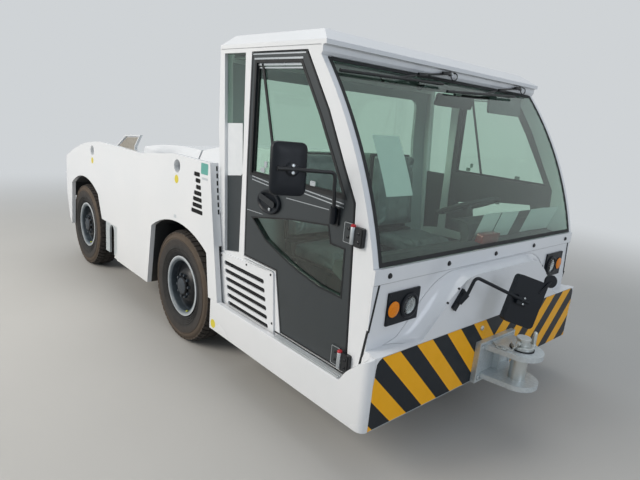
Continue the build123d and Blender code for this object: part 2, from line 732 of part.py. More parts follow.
leaf_near = cab_half + leaf_out
leaf_far = leaf_near + leaf_sheet
with BuildPart() as door_hinges:
    for sign in sides.values():
        for height in hinge_heights:
            bottom, top = height - fixed_reach, height + fixed_reach
            block(sign, (neck_x, leaf_near, bottom), (hinge_x + leaf_length, leaf_far, top))
            block(sign, (hinge_x + leaf_length - leaf_foot, cab_half, bottom),
                  (hinge_x + leaf_length, leaf_near, top))
            for foot in (bottom, top - fixed_knuckle):
                block(sign, (hinge_x, leaf_near, foot),
                      (neck_x, leaf_far, foot + fixed_knuckle))
                with BuildSketch(Plane.XY.offset(foot)):
                    with Locations((hinge_x, sign * hinge_out)):
                        Circle(hinge_radius)
                extrude(amount=fixed_knuckle)
            with BuildSketch(Plane.XY.offset(bottom)):
                with Locations((hinge_x, sign * hinge_out)):
                    Circle(hinge_pin_radius)
            extrude(amount=top - bottom)
save(door_hinges.part, "door_hinges")

handle_sheet = 14
for side, sign in sides.items():
    with BuildPart() as fittings:
        for height in hinge_heights:
            bottom, top = height - moving_knuckle / 2, height + moving_knuckle / 2
            block(sign, (hinge_x - leaf_length, leaf_near, bottom), (hinge_x, leaf_far, top))
            block(sign, (hinge_x - leaf_length, cab_half, bottom),
                  (hinge_x - leaf_length + leaf_foot, leaf_near, top))
            bore_radius = hinge_pin_radius + running_clearance
            for radius, mode in ((hinge_radius, Mode.ADD), (bore_radius, Mode.SUBTRACT)):
                with BuildSketch(Plane.XY.offset(bottom)):
                    with Locations((hinge_x, sign * hinge_out)):
                        Circle(radius)
                extrude(amount=moving_knuckle, mode=mode)
        with BuildSketch(slab(sign, cab_half, cab_half + handle_sheet)):
            with Locations((x_at(handle_at[0]), handle_at[1])):
                Circle(handle_radius)
        extrude(amount=-handle_sheet)
    save(fittings.part, f"door_fittings_{side}")

# Door mirror on the right: bracket on the belt, bent arm and head
mirror_arm_radius = 9
mirror_bracket = (370, 1255)
mirror_foot = {"wide": 60, "tall": 84, "deep": 12}
mirror_head = {"back": 441, "out": cab_half + 235, "height": 1462, "width": 165, "tall": 232, "deep": 50,
               "corner": 24}
mirror_corner = (345, cab_half + 55, mirror_head["height"])
mirror_tip = (398, mirror_head["out"] + 106, mirror_head["height"] + 6)
mirror_clamp = {"back": 372, "deep": 46, "wide": 80, "tall": 44}
mirror_bend = 26
with BuildPart() as door_mirror:
    with BuildSketch(slab(-1, cab_half, cab_half + mirror_foot["deep"])):
        with Locations((x_at(mirror_bracket[0]), mirror_bracket[1])):
            Rectangle(mirror_foot["wide"], mirror_foot["tall"])
    extrude(amount=-mirror_foot["deep"])
    with BuildLine() as mirror_path:
        FilletPolyline((x_at(mirror_bracket[0]), -cab_half - mirror_foot["deep"] / 2, mirror_bracket[1]),
                       (x_at(mirror_bracket[0]), -mirror_corner[1], mirror_bracket[1]),
                       (x_at(mirror_corner[0]), -mirror_corner[1], mirror_corner[2]),
                       (x_at(mirror_tip[0]), -mirror_tip[1], mirror_tip[2]), radius=mirror_bend)
    with BuildSketch(Plane(origin=mirror_path.line @ 0, z_dir=mirror_path.line % 0)):
        Circle(mirror_arm_radius)
    sweep()
    with BuildSketch(Plane(origin=(x_at(mirror_head["back"] - mirror_head["deep"] / 2 - 6),
                                   -mirror_head["out"], mirror_head["height"]),
                           x_dir=(0.17, 0.98, -0.10), z_dir=(-0.98, 0.18, -0.10))):
        RectangleRounded(mirror_head["width"], mirror_head["tall"], mirror_head["corner"])
    extrude(amount=mirror_head["deep"])
    with Locations((x_at(mirror_clamp["back"] + mirror_clamp["deep"] / 2), -mirror_head["out"],
                    mirror_head["height"] + 4)):
        Box(mirror_clamp["deep"], mirror_clamp["wide"], mirror_clamp["tall"])
save(door_mirror.part, "door_mirror")

# Wheel arch liners: a bent sheet round each wheel with a wall on the inside
liner_wall = 600
liner_outer = body_half - side_plate - seat_gap
liner_sheet = 4
axle_notch = {"half": 140, "top": 540}
liner_arches = [{**front_arch, "axle": front_axle_back},
                {**rear_arch, "axle": rear_axle_back, "rear_foot": (tail(61), 650),
                 "front_foot": (rear_arch["front_foot"][0], 420)}]
with BuildPart() as liners:
    for sign in sides.values():
        for arch in liner_arches:
            for outset, near, mode in ((liner_sheet, liner_wall, Mode.ADD),
                                       (0, liner_wall + liner_sheet, Mode.SUBTRACT)):
                with BuildSketch(slab(sign, near, liner_outer)):
                    with BuildLine():
                        ThreePointArc(*outline([arch[key] for key in ("rear", "crown", "front")]))
                        front_foot, rear_foot = arch["front_foot"], arch["rear_foot"]
                        Polyline(outline([arch["front"], front_foot, (front_foot[0], 0), (rear_foot[0], 0),
                                          rear_foot, arch["rear"]]))
                    make_face()
                    offset(amount=outset)
                    Polygon(*outline([(front_foot[0] - 50, front_foot[1]), (rear_foot[0] + 50, rear_foot[1]),
                                      (rear_foot[0] + 50, -50), (front_foot[0] - 50, -50)]),
                            align=None, mode=Mode.SUBTRACT)
                extrude(amount=near - liner_outer, mode=mode)
            block(sign, (x_at(arch["axle"]) - axle_notch["half"], liner_wall - 1, skirt_height - 1),
                  (x_at(arch["axle"]) + axle_notch["half"], liner_wall + liner_sheet + 1, axle_notch["top"]),
                  Mode.SUBTRACT)
save(liners.part, "arch_liners")

# Slotted lashing plates set back in the side recesses
lashing_out = body_half - side_plate
lashing_sheet = 18
lashing_edge = 3.5
lashing_tall = 350
lashing_slot = {"ahead": 154, "height": 410, "tall": 320, "wide": 108}
with BuildPart() as lashing:
    for sign in sides.values():
        with BuildSketch(slab(sign, lashing_out - lashing_sheet, lashing_out)):
            with Locations((x_at(recess_front_back + lashing_edge), skirt_height)):
                Rectangle(rear_arch["front_foot"][0] - recess_front_back - 2 * lashing_edge, lashing_tall,
                          align=(Align.MAX, Align.MIN))
            slot_back = rear_arch["front_foot"][0] - lashing_slot["ahead"]
            with Locations((x_at(slot_back), lashing_slot["height"])):
                SlotOverall(lashing_slot["tall"], lashing_slot["wide"], rotation=90, mode=Mode.SUBTRACT)
        extrude(amount=-lashing_sheet)
save(lashing.part, "lashing_plates")

# Rear deck between the side plates, with the engine bay open under the hood
bay = {"front": 2552, "rear": tail(806), "half": 540}
deck_half = body_half - side_plate - seat_gap
deck_front = 1500
deck_rear = tail(50)
# A folded intake box stands on the deck at the right, its face let in behind a rim
intake_outline = [(tail(903), deck_top - sheet), (tail(903), 1266), (tail(1127), 1378), (tail(1445), 1405),
                  (tail(1336), 1300), (tail(1336), deck_top - sheet)]
intake_sides = (640, 900)
intake_rim = 16
intake_recess = 30
with BuildPart() as deck:
    with BuildSketch(Plane.XY.offset(deck_top - sheet)):
        with Locations((x_at(deck_rear), 0)):
            Rectangle(deck_rear - deck_front, 2 * deck_half, align=(Align.MIN, Align.CENTER))
        with Locations((x_at(bay["rear"]), 0)):
            Rectangle(bay["rear"] - bay["front"], 2 * bay["half"], align=(Align.MIN, Align.CENTER),
                      mode=Mode.SUBTRACT)
    extrude(amount=sheet)
    with BuildSketch(slab(-1, *intake_sides)):
        Polygon(*outline(intake_outline), align=None)
    extrude(amount=intake_sides[0] - intake_sides[1])
    with BuildSketch(slab(-1, intake_sides[1] - intake_recess, intake_sides[1])):
        Polygon(*outline(intake_outline), align=None)
        offset(amount=-intake_rim, kind=Kind.INTERSECTION)
        with Locations((x_at(intake_outline[0][0]), deck_top)):
            Rectangle(body_length, intake_rim, align=(Align.CENTER, Align.MIN), mode=Mode.SUBTRACT)
    extrude(amount=-intake_recess, mode=Mode.SUBTRACT)
save(deck.part, "rear_deck")

# Cowl between the cab and the hood, a shell open below, with the lugs and pins of the hood's hinges
cowl_rear_back = 2545
cowl_wall = 14
cowl_crest = [(1500, 1450), (2200, 1415), (cowl_rear_back, 1330)]
hood_hinge_half = 350
hood_knuckle = {"radius": 16, "width": 40, "lug": 16, "pin": 8, "foot": 40}
hood_axis = (x_at(hood_front_back), hood_hinge_height)


def hood_barrel(radius, low, high, mode=Mode.ADD):
    """A cylinder on the hood's hinge axis between two places along Y."""
    with Locations(Plane(origin=(hood_axis[0], low, hood_axis[1]), x_dir=(1, 0, 0), z_dir=(0, 1, 0))):
        Cylinder(radius, high - low, align=(Align.CENTER, Align.CENTER, Align.MIN), mode=mode)


fold = {"height": 1236, "top": 1456, "in": 88}


def folded(profile, wall):
    """A side profile carried across the hood's width, its flanks folded in above the fold's height."""
    half = hood_half - wall
    with BuildPart() as form:
        with BuildSketch(Plane.XZ.offset(-half)):
            add(profile)
        extrude(amount=2 * half)
        with BuildSketch(Plane.YZ.offset(x_at(body_length))):
            Polygon((-half, 0), (-half, fold["height"]), (fold["in"] - half, fold["top"]),
                    (half - fold["in"], fold["top"]), (half, fold["height"]), (half, 0), align=None)
        extrude(amount=body_length, mode=Mode.INTERSECT)
    return form.part


def cowl_profile(wall):
    front, rear = cowl_crest[0][0] + wall, cowl_rear_back - wall
    with BuildSketch(Plane.XZ) as profile:
        Polygon(*outline([(front, deck_top), (front, cowl_crest[0][1] - wall),
                          (cowl_crest[1][0], cowl_crest[1][1] - wall), (rear, cowl_crest[2][1] - wall),
                          (rear, deck_top)]), align=None)
    return profile.sketch_local


cowl_outer, cowl_inner = folded(cowl_profile(0), 0), folded(cowl_profile(cowl_wall), cowl_wall)
with BuildPart() as cowl:
    add(cowl_outer)
    add(cowl_inner, mode=Mode.SUBTRACT)
    for centre in (-hood_hinge_half, hood_hinge_half):
        reach = hood_knuckle["width"] / 2 + knuckle_gap
        for near, far in ((centre - reach - hood_knuckle["lug"], centre - reach),
                          (centre + reach, centre + reach + hood_knuckle["lug"])):
            hood_barrel(hood_knuckle["radius"], near, far)
            block(1, (hood_axis[0], near, cowl_crest[2][1] - hood_knuckle["foot"]),
                  (x_at(cowl_rear_back - hood_knuckle["foot"]), far, hood_hinge_height))
        hood_barrel(hood_knuckle["pin"], centre - reach - hood_knuckle["lug"],
                    centre + reach + hood_knuckle["lug"])
save(cowl.part, "rear_cowl")

# Engine hood: arched top, side flanks and a rear wall, open underneath and at the front
hood_wall = 14
hood_crest = [(hood_front_back + 14, 1330), (2920, 1328), (hood_rear_back - 50, 1250)]
hood_foot = deck_top + moving_gap
# Slots in the hood's flanks: front back, rear back, bottom, top
hood_vents = [(2612, 2796, 1200, 1216), (2612, 2796, 1168, 1184)]


def hood_profile(wall):
    front = hood_crest[0][0] - wall
    crest = [(front, hood_crest[0][1] - wall), (hood_crest[1][0], hood_crest[1][1] - wall),
             (hood_crest[2][0] - wall, hood_crest[2][1] - wall)]
    with BuildSketch(Plane.XZ) as profile:
        with BuildLine():
            ThreePointArc(*outline(crest))
            Polyline(outline([crest[2], (hood_rear_back - wall, hood_foot - wall), (front, hood_foot - wall),
                              crest[0]]))
        make_face()
        Rectangle(3 * body_length, hood_foot, align=(Align.CENTER, Align.MIN), mode=Mode.SUBTRACT)
    return profile.sketch_local


hood_outer, hood_inner = folded(hood_profile(0), 0), folded(hood_profile(hood_wall), hood_wall)
with BuildPart() as hood:
    add(hood_outer)
    add(hood_inner, mode=Mode.SUBTRACT)
    for front_back, back, bottom, top in hood_vents:
        with Locations(((x_at(front_back) + x_at(back)) / 2, 0, (bottom + top) / 2)):
            Box(back - front_back, 2 * hood_half + 1, top - bottom, mode=Mode.SUBTRACT)
    for centre in (-hood_hinge_half, hood_hinge_half):
        near, far = centre - hood_knuckle["width"] / 2, centre + hood_knuckle["width"] / 2
        hood_barrel(hood_knuckle["radius"], near, far)
        block(1, (hood_axis[0] - hood_knuckle["foot"], near, hood_crest[0][1] - hood_wall),
              (hood_axis[0], far, hood_hinge_height + hood_knuckle["radius"] / 2))
        hood_barrel(hood_knuckle["pin"] + running_clearance, near, far, Mode.SUBTRACT)
save(hood.part, "engine_hood")

# Rear bumper between the side plates, following their tails, cut out for the rear hitch
rear_plate_thick = 30
rear_foot_clear = 640
rear_cut = 300
hitch_clear = 20
rear_plate_line = [(rear_plate_bend[0], deck_top), rear_plate_bend, rear_plate_foot]
rear_plate_outline = rear_plate_line + [(back + rear_plate_thick, height)
                                        for back, height in reversed(rear_plate_line)]
with BuildPart() as rear_bumper:
    with BuildSketch(Plane.XZ.offset(-deck_half)):
        Polygon(*outline(rear_plate_outline), align=None)
    extrude(amount=2 * deck_half)
    with BuildSketch(Plane.XY.offset(skirt_height)):
        with Locations((x_at(rear_plate_bend[0]), 0)):
            Rectangle(rear_cut, 2 * (hitch_base_half + hitch_clear))
            for sign in sides.values():
                with Locations((0, sign * (liner_wall + deck_half) / 2)):
                    Rectangle(rear_cut, deck_half - liner_wall + 1)
    extrude(amount=rear_foot_clear - skirt_height, mode=Mode.SUBTRACT)
save(rear_bumper.part, "rear_bumper")

# Engine as one plain block between the rails
engine_span = (2570, tail(1026))
engine_width = 620
engine_height = 620
with BuildPart() as engine:
    with BuildSketch(Plane.XY.offset(engine_bottom)):
        with Locations((x_at(engine_span[1]), 0)):
            Rectangle(engine_span[1] - engine_span[0], engine_width, align=(Align.MIN, Align.CENTER))
    extrude(amount=engine_height)
save(engine.part, "engine_block")

# Lamps
lamp_plate = {"inner": cab_half - 345, "outer": cab_half - 110, "bottom": 776, "top": 941, "sheet": 9}
# out, height, radius
white_lamp = (cab_half - 270, 857, 62)
amber_lamp = (cab_half - 152, 858, 36)
lamp_depth = 22
tail_lamp = {"out": deck_half - 165, "height": 900, "wide": 260, "tall": 110, "corner": 12, "deep": 30}
with BuildPart() as head_lamps:
    for sign in sides.values():
        with BuildSketch(Plane.YZ.offset(x_at(fascia_back))):
            with Locations((sign * (lamp_plate["inner"] + lamp_plate["outer"]) / 2,
                            (lamp_plate["bottom"] + lamp_plate["top"]) / 2)):
                Rectangle(lamp_plate["outer"] - lamp_plate["inner"], lamp_plate["top"] - lamp_plate["bottom"])
        extrude(amount=lamp_plate["sheet"])
        for out, height, radius in (white_lamp, amber_lamp):
            with BuildSketch(Plane.YZ.offset(x_at(fascia_back - lamp_plate["sheet"]))):
                with Locations((sign * out, height)):
                    Circle(radius)
            extrude(amount=lamp_depth)
save(head_lamps.part, "head_lamps")

with BuildPart() as tail_lamps:
    for sign in sides.values():
        with BuildSketch(Plane.YZ.offset(x_at(rear_plate_bend[0] + rear_plate_thick))):
            with Locations((sign * tail_lamp["out"], tail_lamp["height"])):
                RectangleRounded(tail_lamp["wide"], tail_lamp["tall"], tail_lamp["corner"])
        extrude(amount=-tail_lamp["deep"])
save(tail_lamps.part, "tail_lamps")


hitch_rim = 14
hitch_pocket = 8
hitch_rib = 18
tongue_root = 150


def hitch(face_back, direction, pin_back, nose_radius, bore_radius):
    """A bolted base plate with two tongues round a vertical bore and a rib between them."""
    face, bore = x_at(face_back), x_at(pin_back)
    rim_face = face + direction * hitch_plate
    with BuildPart() as body:
        block(1, (face, -hitch_base_half, hitch_base_bottom), (rim_face, hitch_base_half, hitch_base_top))
        block(1, (rim_face - direction * hitch_pocket, hitch_rim - hitch_base_half,
                  hitch_base_bottom + hitch_rim),
              (rim_face, hitch_base_half - hitch_rim, hitch_base_top - hitch_rim), Mode.SUBTRACT)
        for bottom in (hitch_lower, hitch_lower + hitch_plate + hitch_gap):
            with BuildSketch(Plane.XY.offset(bottom)):
                with Locations((bore, 0)):
                    Circle(nose_radius)
                Polygon((face, -tongue_root), (face, tongue_root), (bore, nose_radius), (bore, -nose_radius),
                        align=None)
                with Locations((bore, 0)):
                    Circle(bore_radius, mode=Mode.SUBTRACT)
            extrude(amount=hitch_plate)
        block(1, (face, -hitch_rib / 2, hitch_lower + hitch_plate),
              (rim_face + direction * hitch_plate, hitch_rib / 2, hitch_lower + hitch_plate + hitch_gap))
    return body.part


save(hitch(0, 1, hitch_pin_back, hitch_nose_radius, hitch_pin_radius + running_clearance), "front_hitch")
save(hitch(tail(rear_hitch_ahead), -1, body_length + rear_pin_reach, rear_hitch_reach - rear_pin_reach,
           rear_pin_radius), "rear_hitch")

# The pin is a stack of turned lengths with a cross bar; a latch stands beside it on its own foot
tongue_top = hitch_lower + 2 * hitch_plate + hitch_gap
pin_stack = [
    # radius, bottom, top
    (hitch_pin_radius, hitch_lower - 8, tongue_top + 4), (62, tongue_top + seat_gap, tongue_top + 21),
    (34, tongue_top + 4, 590), (41, 590, 604),
]
pin_bar = {"radius": 11, "reach": 62, "height": 597}
latch = {"back": -196, "out": 88, "foot_radius": 17, "foot_tall": 16, "radius": 13, "top": 620, "cap": 18}
with BuildPart() as hitch_pin:
    for radius, bottom, top in pin_stack:
        with BuildSketch(Plane.XY.offset(bottom)):
            with Locations((x_at(hitch_pin_back), 0)):
                Circle(radius)
        extrude(amount=top - bottom)
    with BuildSketch(Plane.XZ.offset(-pin_bar["reach"])):
        with Locations((x_at(hitch_pin_back), pin_bar["height"])):
            Circle(pin_bar["radius"])
    extrude(amount=2 * pin_bar["reach"])
    latch_foot = tongue_top + seat_gap
    for radius, bottom, top in ((latch["foot_radius"], latch_foot, tongue_top + latch["foot_tall"]),
                                (latch["radius"], latch_foot, latch["top"]),
                                (latch["foot_radius"], latch["top"] - latch["cap"], latch["top"])):
        with BuildSketch(Plane.XY.offset(bottom)):
            with Locations((x_at(latch["back"]), latch["out"])):
                Circle(radius)
        extrude(amount=top - bottom)
save(hitch_pin.part, "hitch_pin")

# Front mirror that looks down at the hitch, on an arm from the raised cover, with a small round one beside it
front_foot = {"out": cab_half - 574, "height": 857, "wide": 36, "tall": 118, "lean": -40, "deep": 16}
# back, out to the right, height of the arm's corners
front_arm = [(-17, front_foot["out"] + 12, 845), (-38, front_foot["out"] - 26, 900),
             (-50, front_foot["out"] - 56, 985), (-230, 158, 859)]
front_arm_bend = 24
front_sleeve = {"radius": 16, "long": 62}
front_head = {"back": -212, "out": 147, "height": 856, "wide": 180, "tall": 260, "deep": 45, "corner": 24,
              "clamp": 22}
front_head_axes = {"x_dir": (0.54, 0.79, -0.29), "z_dir": (-0.84, 0.52, -0.15)}
round_mirror = {"back": -268, "out": 22, "height": 968, "radius": 34.5, "deep": 14}
round_arm = [(-243, 82, 905), (-262, 50, 948), (-266, 24, 966)]
round_arm_radius = 6


def arm_points(table):
    return [(x_at(back), -out, height) for back, out, height in table]


with BuildPart() as front_mirror:
    with BuildSketch(Plane.YZ.offset(x_at(0))):
        with Locations((-front_foot["out"], front_foot["height"])):
            Rectangle(front_foot["wide"], front_foot["tall"], rotation=front_foot["lean"])
    extrude(amount=front_foot["deep"])
    with BuildLine() as arm_path:
        FilletPolyline(*arm_points(front_arm), radius=front_arm_bend)
    arm_start = Plane(origin=arm_path.line @ 0, z_dir=arm_path.line % 0)
    with BuildSketch(arm_start):
        Circle(mirror_arm_radius)
    sweep()
    with BuildSketch(arm_start):
        Circle(front_sleeve["radius"])
    extrude(amount=front_sleeve["long"])
    head_plane = Plane(origin=arm_points([(front_head["back"], front_head["out"], front_head["height"])])[0],
                       **front_head_axes)
    with BuildSketch(head_plane):
        RectangleRounded(front_head["wide"], front_head["tall"], front_head["corner"])
    extrude(amount=front_head["deep"])
    with BuildSketch(head_plane):
        with Locations((-front_head["wide"] / 6, 0)):
            Rectangle(front_head["wide"] * 0.4, front_head["wide"] / 4)
    extrude(amount=-front_head["clamp"])
    with BuildLine() as round_path:
        Polyline(*arm_points(round_arm))
    with BuildSketch(Plane(origin=round_path.line @ 0, z_dir=round_path.line % 0)):
        Circle(round_arm_radius)
    sweep(transition=Transition.ROUND)
    round_centre = arm_points([(round_mirror["back"], round_mirror["out"], round_mirror["height"])])[0]
    with BuildSketch(Plane(origin=round_centre, **front_head_axes)):
        Circle(round_mirror["radius"])
    extrude(amount=round_mirror["deep"])
save(front_mirror.part, "front_mirror")

# Wipers parked along the top of the windscreen: a pivot under the lip, an arm and a blade each
wiper_pivot = {"height": 2019, "radius": 13, "long": 16, "back": 562 - seat_gap}
blade_radius = 8
wiper_arm_radius = 6
wipers_table = [
    # pivot out, then (back, out, height) of the arm's bend, the blade's ends and its middle
    {"pivot": -30, "bend": (538, -300, 1985), "blade": [(506, -975, 1926), (518, -142, 1950)]},
    {"pivot": 822, "bend": (538, 560, 1988), "blade": [(496, -120, 1912), (520, 700, 1955)]},
]
with BuildPart() as wipers:
    for wiper in wipers_table:
        with BuildSketch(Plane.YZ.offset(x_at(wiper_pivot["back"]))):
            with Locations((wiper["pivot"], wiper_pivot["height"])):
                Circle(wiper_pivot["radius"])
        extrude(amount=wiper_pivot["long"])
        start, end = [(x_at(back), out, height) for back, out, height in wiper["blade"]]
        with BuildLine() as blade_line:
            Line(start, end)
        with BuildSketch(Plane(origin=start, z_dir=blade_line.line % 0)):
            Circle(blade_radius)
        sweep()
        back, out, height = wiper["bend"]
        with BuildLine() as wiper_line:
            pivot_middle = x_at(wiper_pivot["back"] - wiper_pivot["long"] / 2)
            Polyline((pivot_middle, wiper["pivot"], wiper_pivot["height"]), (x_at(back), out, height),
                     blade_line.line @ 0.5)
        with BuildSketch(Plane(origin=wiper_line.line @ 0, z_dir=wiper_line.line % 0)):
            Circle(wiper_arm_radius)
        sweep(transition=Transition.ROUND)
save(wipers.part, "wipers")
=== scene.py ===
import bmesh
import bpy
import math
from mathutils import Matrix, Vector


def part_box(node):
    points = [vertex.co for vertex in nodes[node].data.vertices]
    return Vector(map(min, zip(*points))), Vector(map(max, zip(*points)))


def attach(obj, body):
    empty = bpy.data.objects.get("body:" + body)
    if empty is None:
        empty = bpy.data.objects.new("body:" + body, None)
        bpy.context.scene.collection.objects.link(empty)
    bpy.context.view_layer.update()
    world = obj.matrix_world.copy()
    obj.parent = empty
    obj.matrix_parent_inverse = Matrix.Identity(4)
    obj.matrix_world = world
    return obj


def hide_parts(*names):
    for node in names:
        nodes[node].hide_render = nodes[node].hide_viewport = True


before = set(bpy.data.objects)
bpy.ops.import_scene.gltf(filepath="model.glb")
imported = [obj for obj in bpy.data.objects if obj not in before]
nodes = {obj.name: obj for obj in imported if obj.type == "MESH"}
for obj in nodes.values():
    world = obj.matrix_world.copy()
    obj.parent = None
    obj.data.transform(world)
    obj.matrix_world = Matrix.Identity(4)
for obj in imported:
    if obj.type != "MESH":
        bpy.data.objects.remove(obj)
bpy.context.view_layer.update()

# Camera, at the height of a hand-held phone in front of the right front corner
camera = bpy.data.objects.new("camera", bpy.data.cameras.new("camera"))
bpy.context.scene.collection.objects.link(camera)
camera.location = (3.52629, -2.68918, 1.717)
camera.rotation_euler = [math.radians(angle) for angle in (76.036, -5.218, 48.648)]
camera.data.lens = 28.48
camera.data.sensor_width = 36
bpy.context.scene.camera = camera

bumper_face = 2.200


def at(back, side, height):
    """A point from millimetres behind the bumper's face, to the left of the middle and above the ground."""
    return Vector((bumper_face - back / 1000, side / 1000, height / 1000))


# Materials

def linear(colour):
    """An sRGB hex colour as the linear values that Blender mixes."""
    channels = [int(colour[i:i + 2], 16) / 255 for i in (1, 3, 5)]
    return [c / 12.92 if c <= 0.04045 else ((c + 0.055) / 1.055) ** 2.4 for c in channels] + [1.0]


def add(tree, kind, inputs=(), **settings):
    """One node with its settings, and its inputs filled with values or linked from sockets."""
    made = tree.nodes.new(kind)
    for name, value in settings.items():
        setattr(made, name, value)
    for key, value in dict(inputs).items():
        if isinstance(value, bpy.types.NodeSocket):
            tree.links.new(value, made.inputs[key])
        else:
            made.inputs[key].default_value = value
    return made


def blank_material(name):
    made = bpy.data.materials.new(name)
    made.use_nodes = True
    made.node_tree.nodes.clear()
    return made, made.node_tree


def surface(name, colour, rough, second=None, mottle_mm=60, share=0.5, spread=0.05, grain_mm=3.0,
            depth_mm=0.0, dust=None, dust_top=0.55, dust_share=0.5, soft_edge_mm=0.0, sockets=()):
    """A solid finish: two near tones in patches, roughness that varies, a fine relief and dust near the ground."""
    made, tree = blank_material(name)
    coords = add(tree, "ShaderNodeTexCoord").outputs["Object"]
    patches = add(tree, "ShaderNodeTexNoise", {"Vector": coords, "Scale": 1000 / mottle_mm,
                                               "Detail": 4.0}).outputs["Fac"]
    grain = add(tree, "ShaderNodeTexNoise", {"Vector": coords, "Scale": 1000 / grain_mm}).outputs["Fac"]
    tone = add(tree, "ShaderNodeMapRange", {"Value": patches, 1: 0.35, 2: 0.65, 3: 0.0, 4: share}).outputs[0]
    paint = add(tree, "ShaderNodeMix", {0: tone, 6: linear(colour), 7: linear(second or colour)},
                data_type="RGBA").outputs[2]
    gloss = add(tree, "ShaderNodeMapRange", {"Value": patches, 1: 0.3, 2: 0.7, 3: max(rough - spread, 0.02),
                                             4: min(rough + spread, 1.0)}).outputs[0]
    if dust:
        height = add(tree, "ShaderNodeSeparateXYZ", {0: coords}).outputs["Z"]
        low = add(tree, "ShaderNodeMapRange", {"Value": height, 1: dust_top, 2: 0.0, 3: 0.0, 4: 1.0}).outputs[0]
        broken = add(tree, "ShaderNodeMath", {0: low, 1: patches}, operation="MULTIPLY").outputs[0]
        film = add(tree, "ShaderNodeMath", {0: broken, 1: dust_share * 2}, operation="MULTIPLY",
                   use_clamp=True).outputs[0]
        paint = add(tree, "ShaderNodeMix", {0: film, 6: paint, 7: linear(dust)}, data_type="RGBA").outputs[2]
        gloss = add(tree, "ShaderNodeMix", {0: film, 2: gloss, 3: 0.85}).outputs[0]
    facing = {}
    if soft_edge_mm:
        facing["Normal"] = add(tree, "ShaderNodeBevel", {"Radius": soft_edge_mm / 1000}, samples=4).outputs[0]
    if depth_mm:
        facing["Normal"] = add(tree, "ShaderNodeBump", {"Strength": 1.0, "Distance": depth_mm / 1000,
                                                        "Height": grain, **facing}).outputs[0]
    shaded = add(tree, "ShaderNodeBsdfPrincipled", {"Base Color": paint, "Roughness": gloss, **facing,
                                                    **dict(sockets)})
    add(tree, "ShaderNodeOutputMaterial", {"Surface": shaded.outputs[0]})
    return made


# Sprayed two-pack enamel on steel sheet: near white, a clear even gloss, faint dust towards the ground
white_enamel = surface("sprayed_white_enamel", "#E3E5E7", 0.20, "#DCE0E3", 380, 0.5, 0.05, 3.5, 0.012,
                       "#A89F90", 0.60, 0.16, 3.0, sockets={"Coat Weight": 0.5, "Coat Roughness": 0.08})
# The same white enamel inside the cab and on inner faces, darkened to grey as painted shade, and less polished
inner_enamel = surface("white_enamel_in_painted_shade", "#A9AFB3", 0.42, "#9CA3A8", 300, 0.5, 0.06, 3.0, 0.02)
# Rubber floor mat under its protective polythene film, with a wet-looking sheen in patches: pale from the film, and
# made paler still as painted light in the dim cab
floor_film = surface("film_covered_floor_mat_painted_light", "#DDE3E0", 0.45, "#C9D1CD", 130, 0.8, 0.15, 20, 0.8,
                     sockets={"Coat Weight": 0.4, "Coat Roughness": 0.15})
# Charcoal two-pack paint on the doors: satin, slightly warm, with the faint ripple of a roller-coated sheet
charcoal_paint = surface("sprayed_charcoal_paint", "#2F3538", 0.40, "#2A3033", 240, 0.5, 0.06, 2.5, 0.02,
                         "#6A6459", 0.70, 0.12, 2.0)
# Chassis black: a brushed-on matt paint over welded steel, dusty and lighter near the ground
chassis_paint = surface("brushed_chassis_black", "#1B1E21", 0.62, "#2A2C2E", 90, 0.7, 0.12, 5.0, 0.15,
                        "#7C7263", 0.50, 0.55, 2.0)
# Powder-coated black steel: arms, hinges and brackets with a soft orange-peel sheen
black_steel = surface("powder_coated_black_steel", "#0E1115", 0.42, "#14181C", 40, 0.5, 0.06, 1.6, 0.03, None, 0, 0,
                      1.5)
# Black rubber seal, extruded: no gloss, a faint bloom
black_rubber = surface("extruded_black_rubber", "#101316", 0.68, "#1B1E20", 30, 0.5, 0.08, 1.2, 0.03)
# Moulded black plastic with a fine spark-eroded grain: mirror shells and lamp plates
moulded_plastic = surface("moulded_black_plastic", "#0C131B", 0.42, "#090E15", 70, 0.5, 0.06, 1.4, 0.05,
                          sockets={"Specular IOR Level": 0.3})
# Polished black handle and screw caps, moulded in acetal: they catch small highlights
handle_plastic = surface("polished_acetal", "#12161A", 0.18, "#1A1F24", 25, 0.5, 0.05, 1.2, 0.0)
# Painted shade for the vents' insides: a flat black with no sheen at all
vent_shade_black = surface("flat_black_painted_shade", "#050607", 0.95, "#0A0B0C", 8, 0.6, 0.03, 1.5, 0.2)
# Dash covering: vacuum-formed plastic sheet with a leather-like grain
dash_plastic = surface("vacuum_formed_dash_skin", "#2C3235", 0.55, "#262B2E", 50, 0.6, 0.06, 3.2, 0.25)
# Hot-dip galvanised steel: pale zinc spangle of 8 to 15 mm, dull, roughly metallic
galvanised = surface("hot_dip_galvanised_steel", "#CBD2D4", 0.42, "#B9C1C4", 16, 0.6, 0.06, 2.0, 0.01, "#9C968A",
                     0.30, 0.10, 1.5, sockets={"Metallic": 0.5})
# Zinc-plated and passivated pin, chain and plug: brighter than the galvanised plates, with hardly any yellow left
plated_steel = surface("yellow_passivated_steel", "#C6CAC8", 0.34, "#BCC1BF", 60, 0.4, 0.03, 1.2, 0.0, None, 0, 0,
                       1.0, sockets={"Metallic": 0.8})
# Bright zinc bolts and screws
bright_steel = surface("bright_zinc_bolts", "#C9CED1", 0.24, "#B4BABF", 6, 0.6, 0.07, 0.8, 0.01,
                       sockets={"Metallic": 1.0})
# Mill-finish aluminium tread strips, worn bright on their teeth
tread_aluminium = surface("extruded_aluminium_tread", "#DDE0E1", 0.50, "#CDD1D3", 14, 0.6, 0.08, 1.0, 0.02,
                          sockets={"Metallic": 0.45})
# Cast iron engine, painted grey and oily
cast_iron = surface("painted_cast_iron", "#3B3F42", 0.50, "#2C2D2E", 35, 0.8, 0.12, 3.0, 0.3, "#6F675B", 0.9, 0.3,
                    2.0)
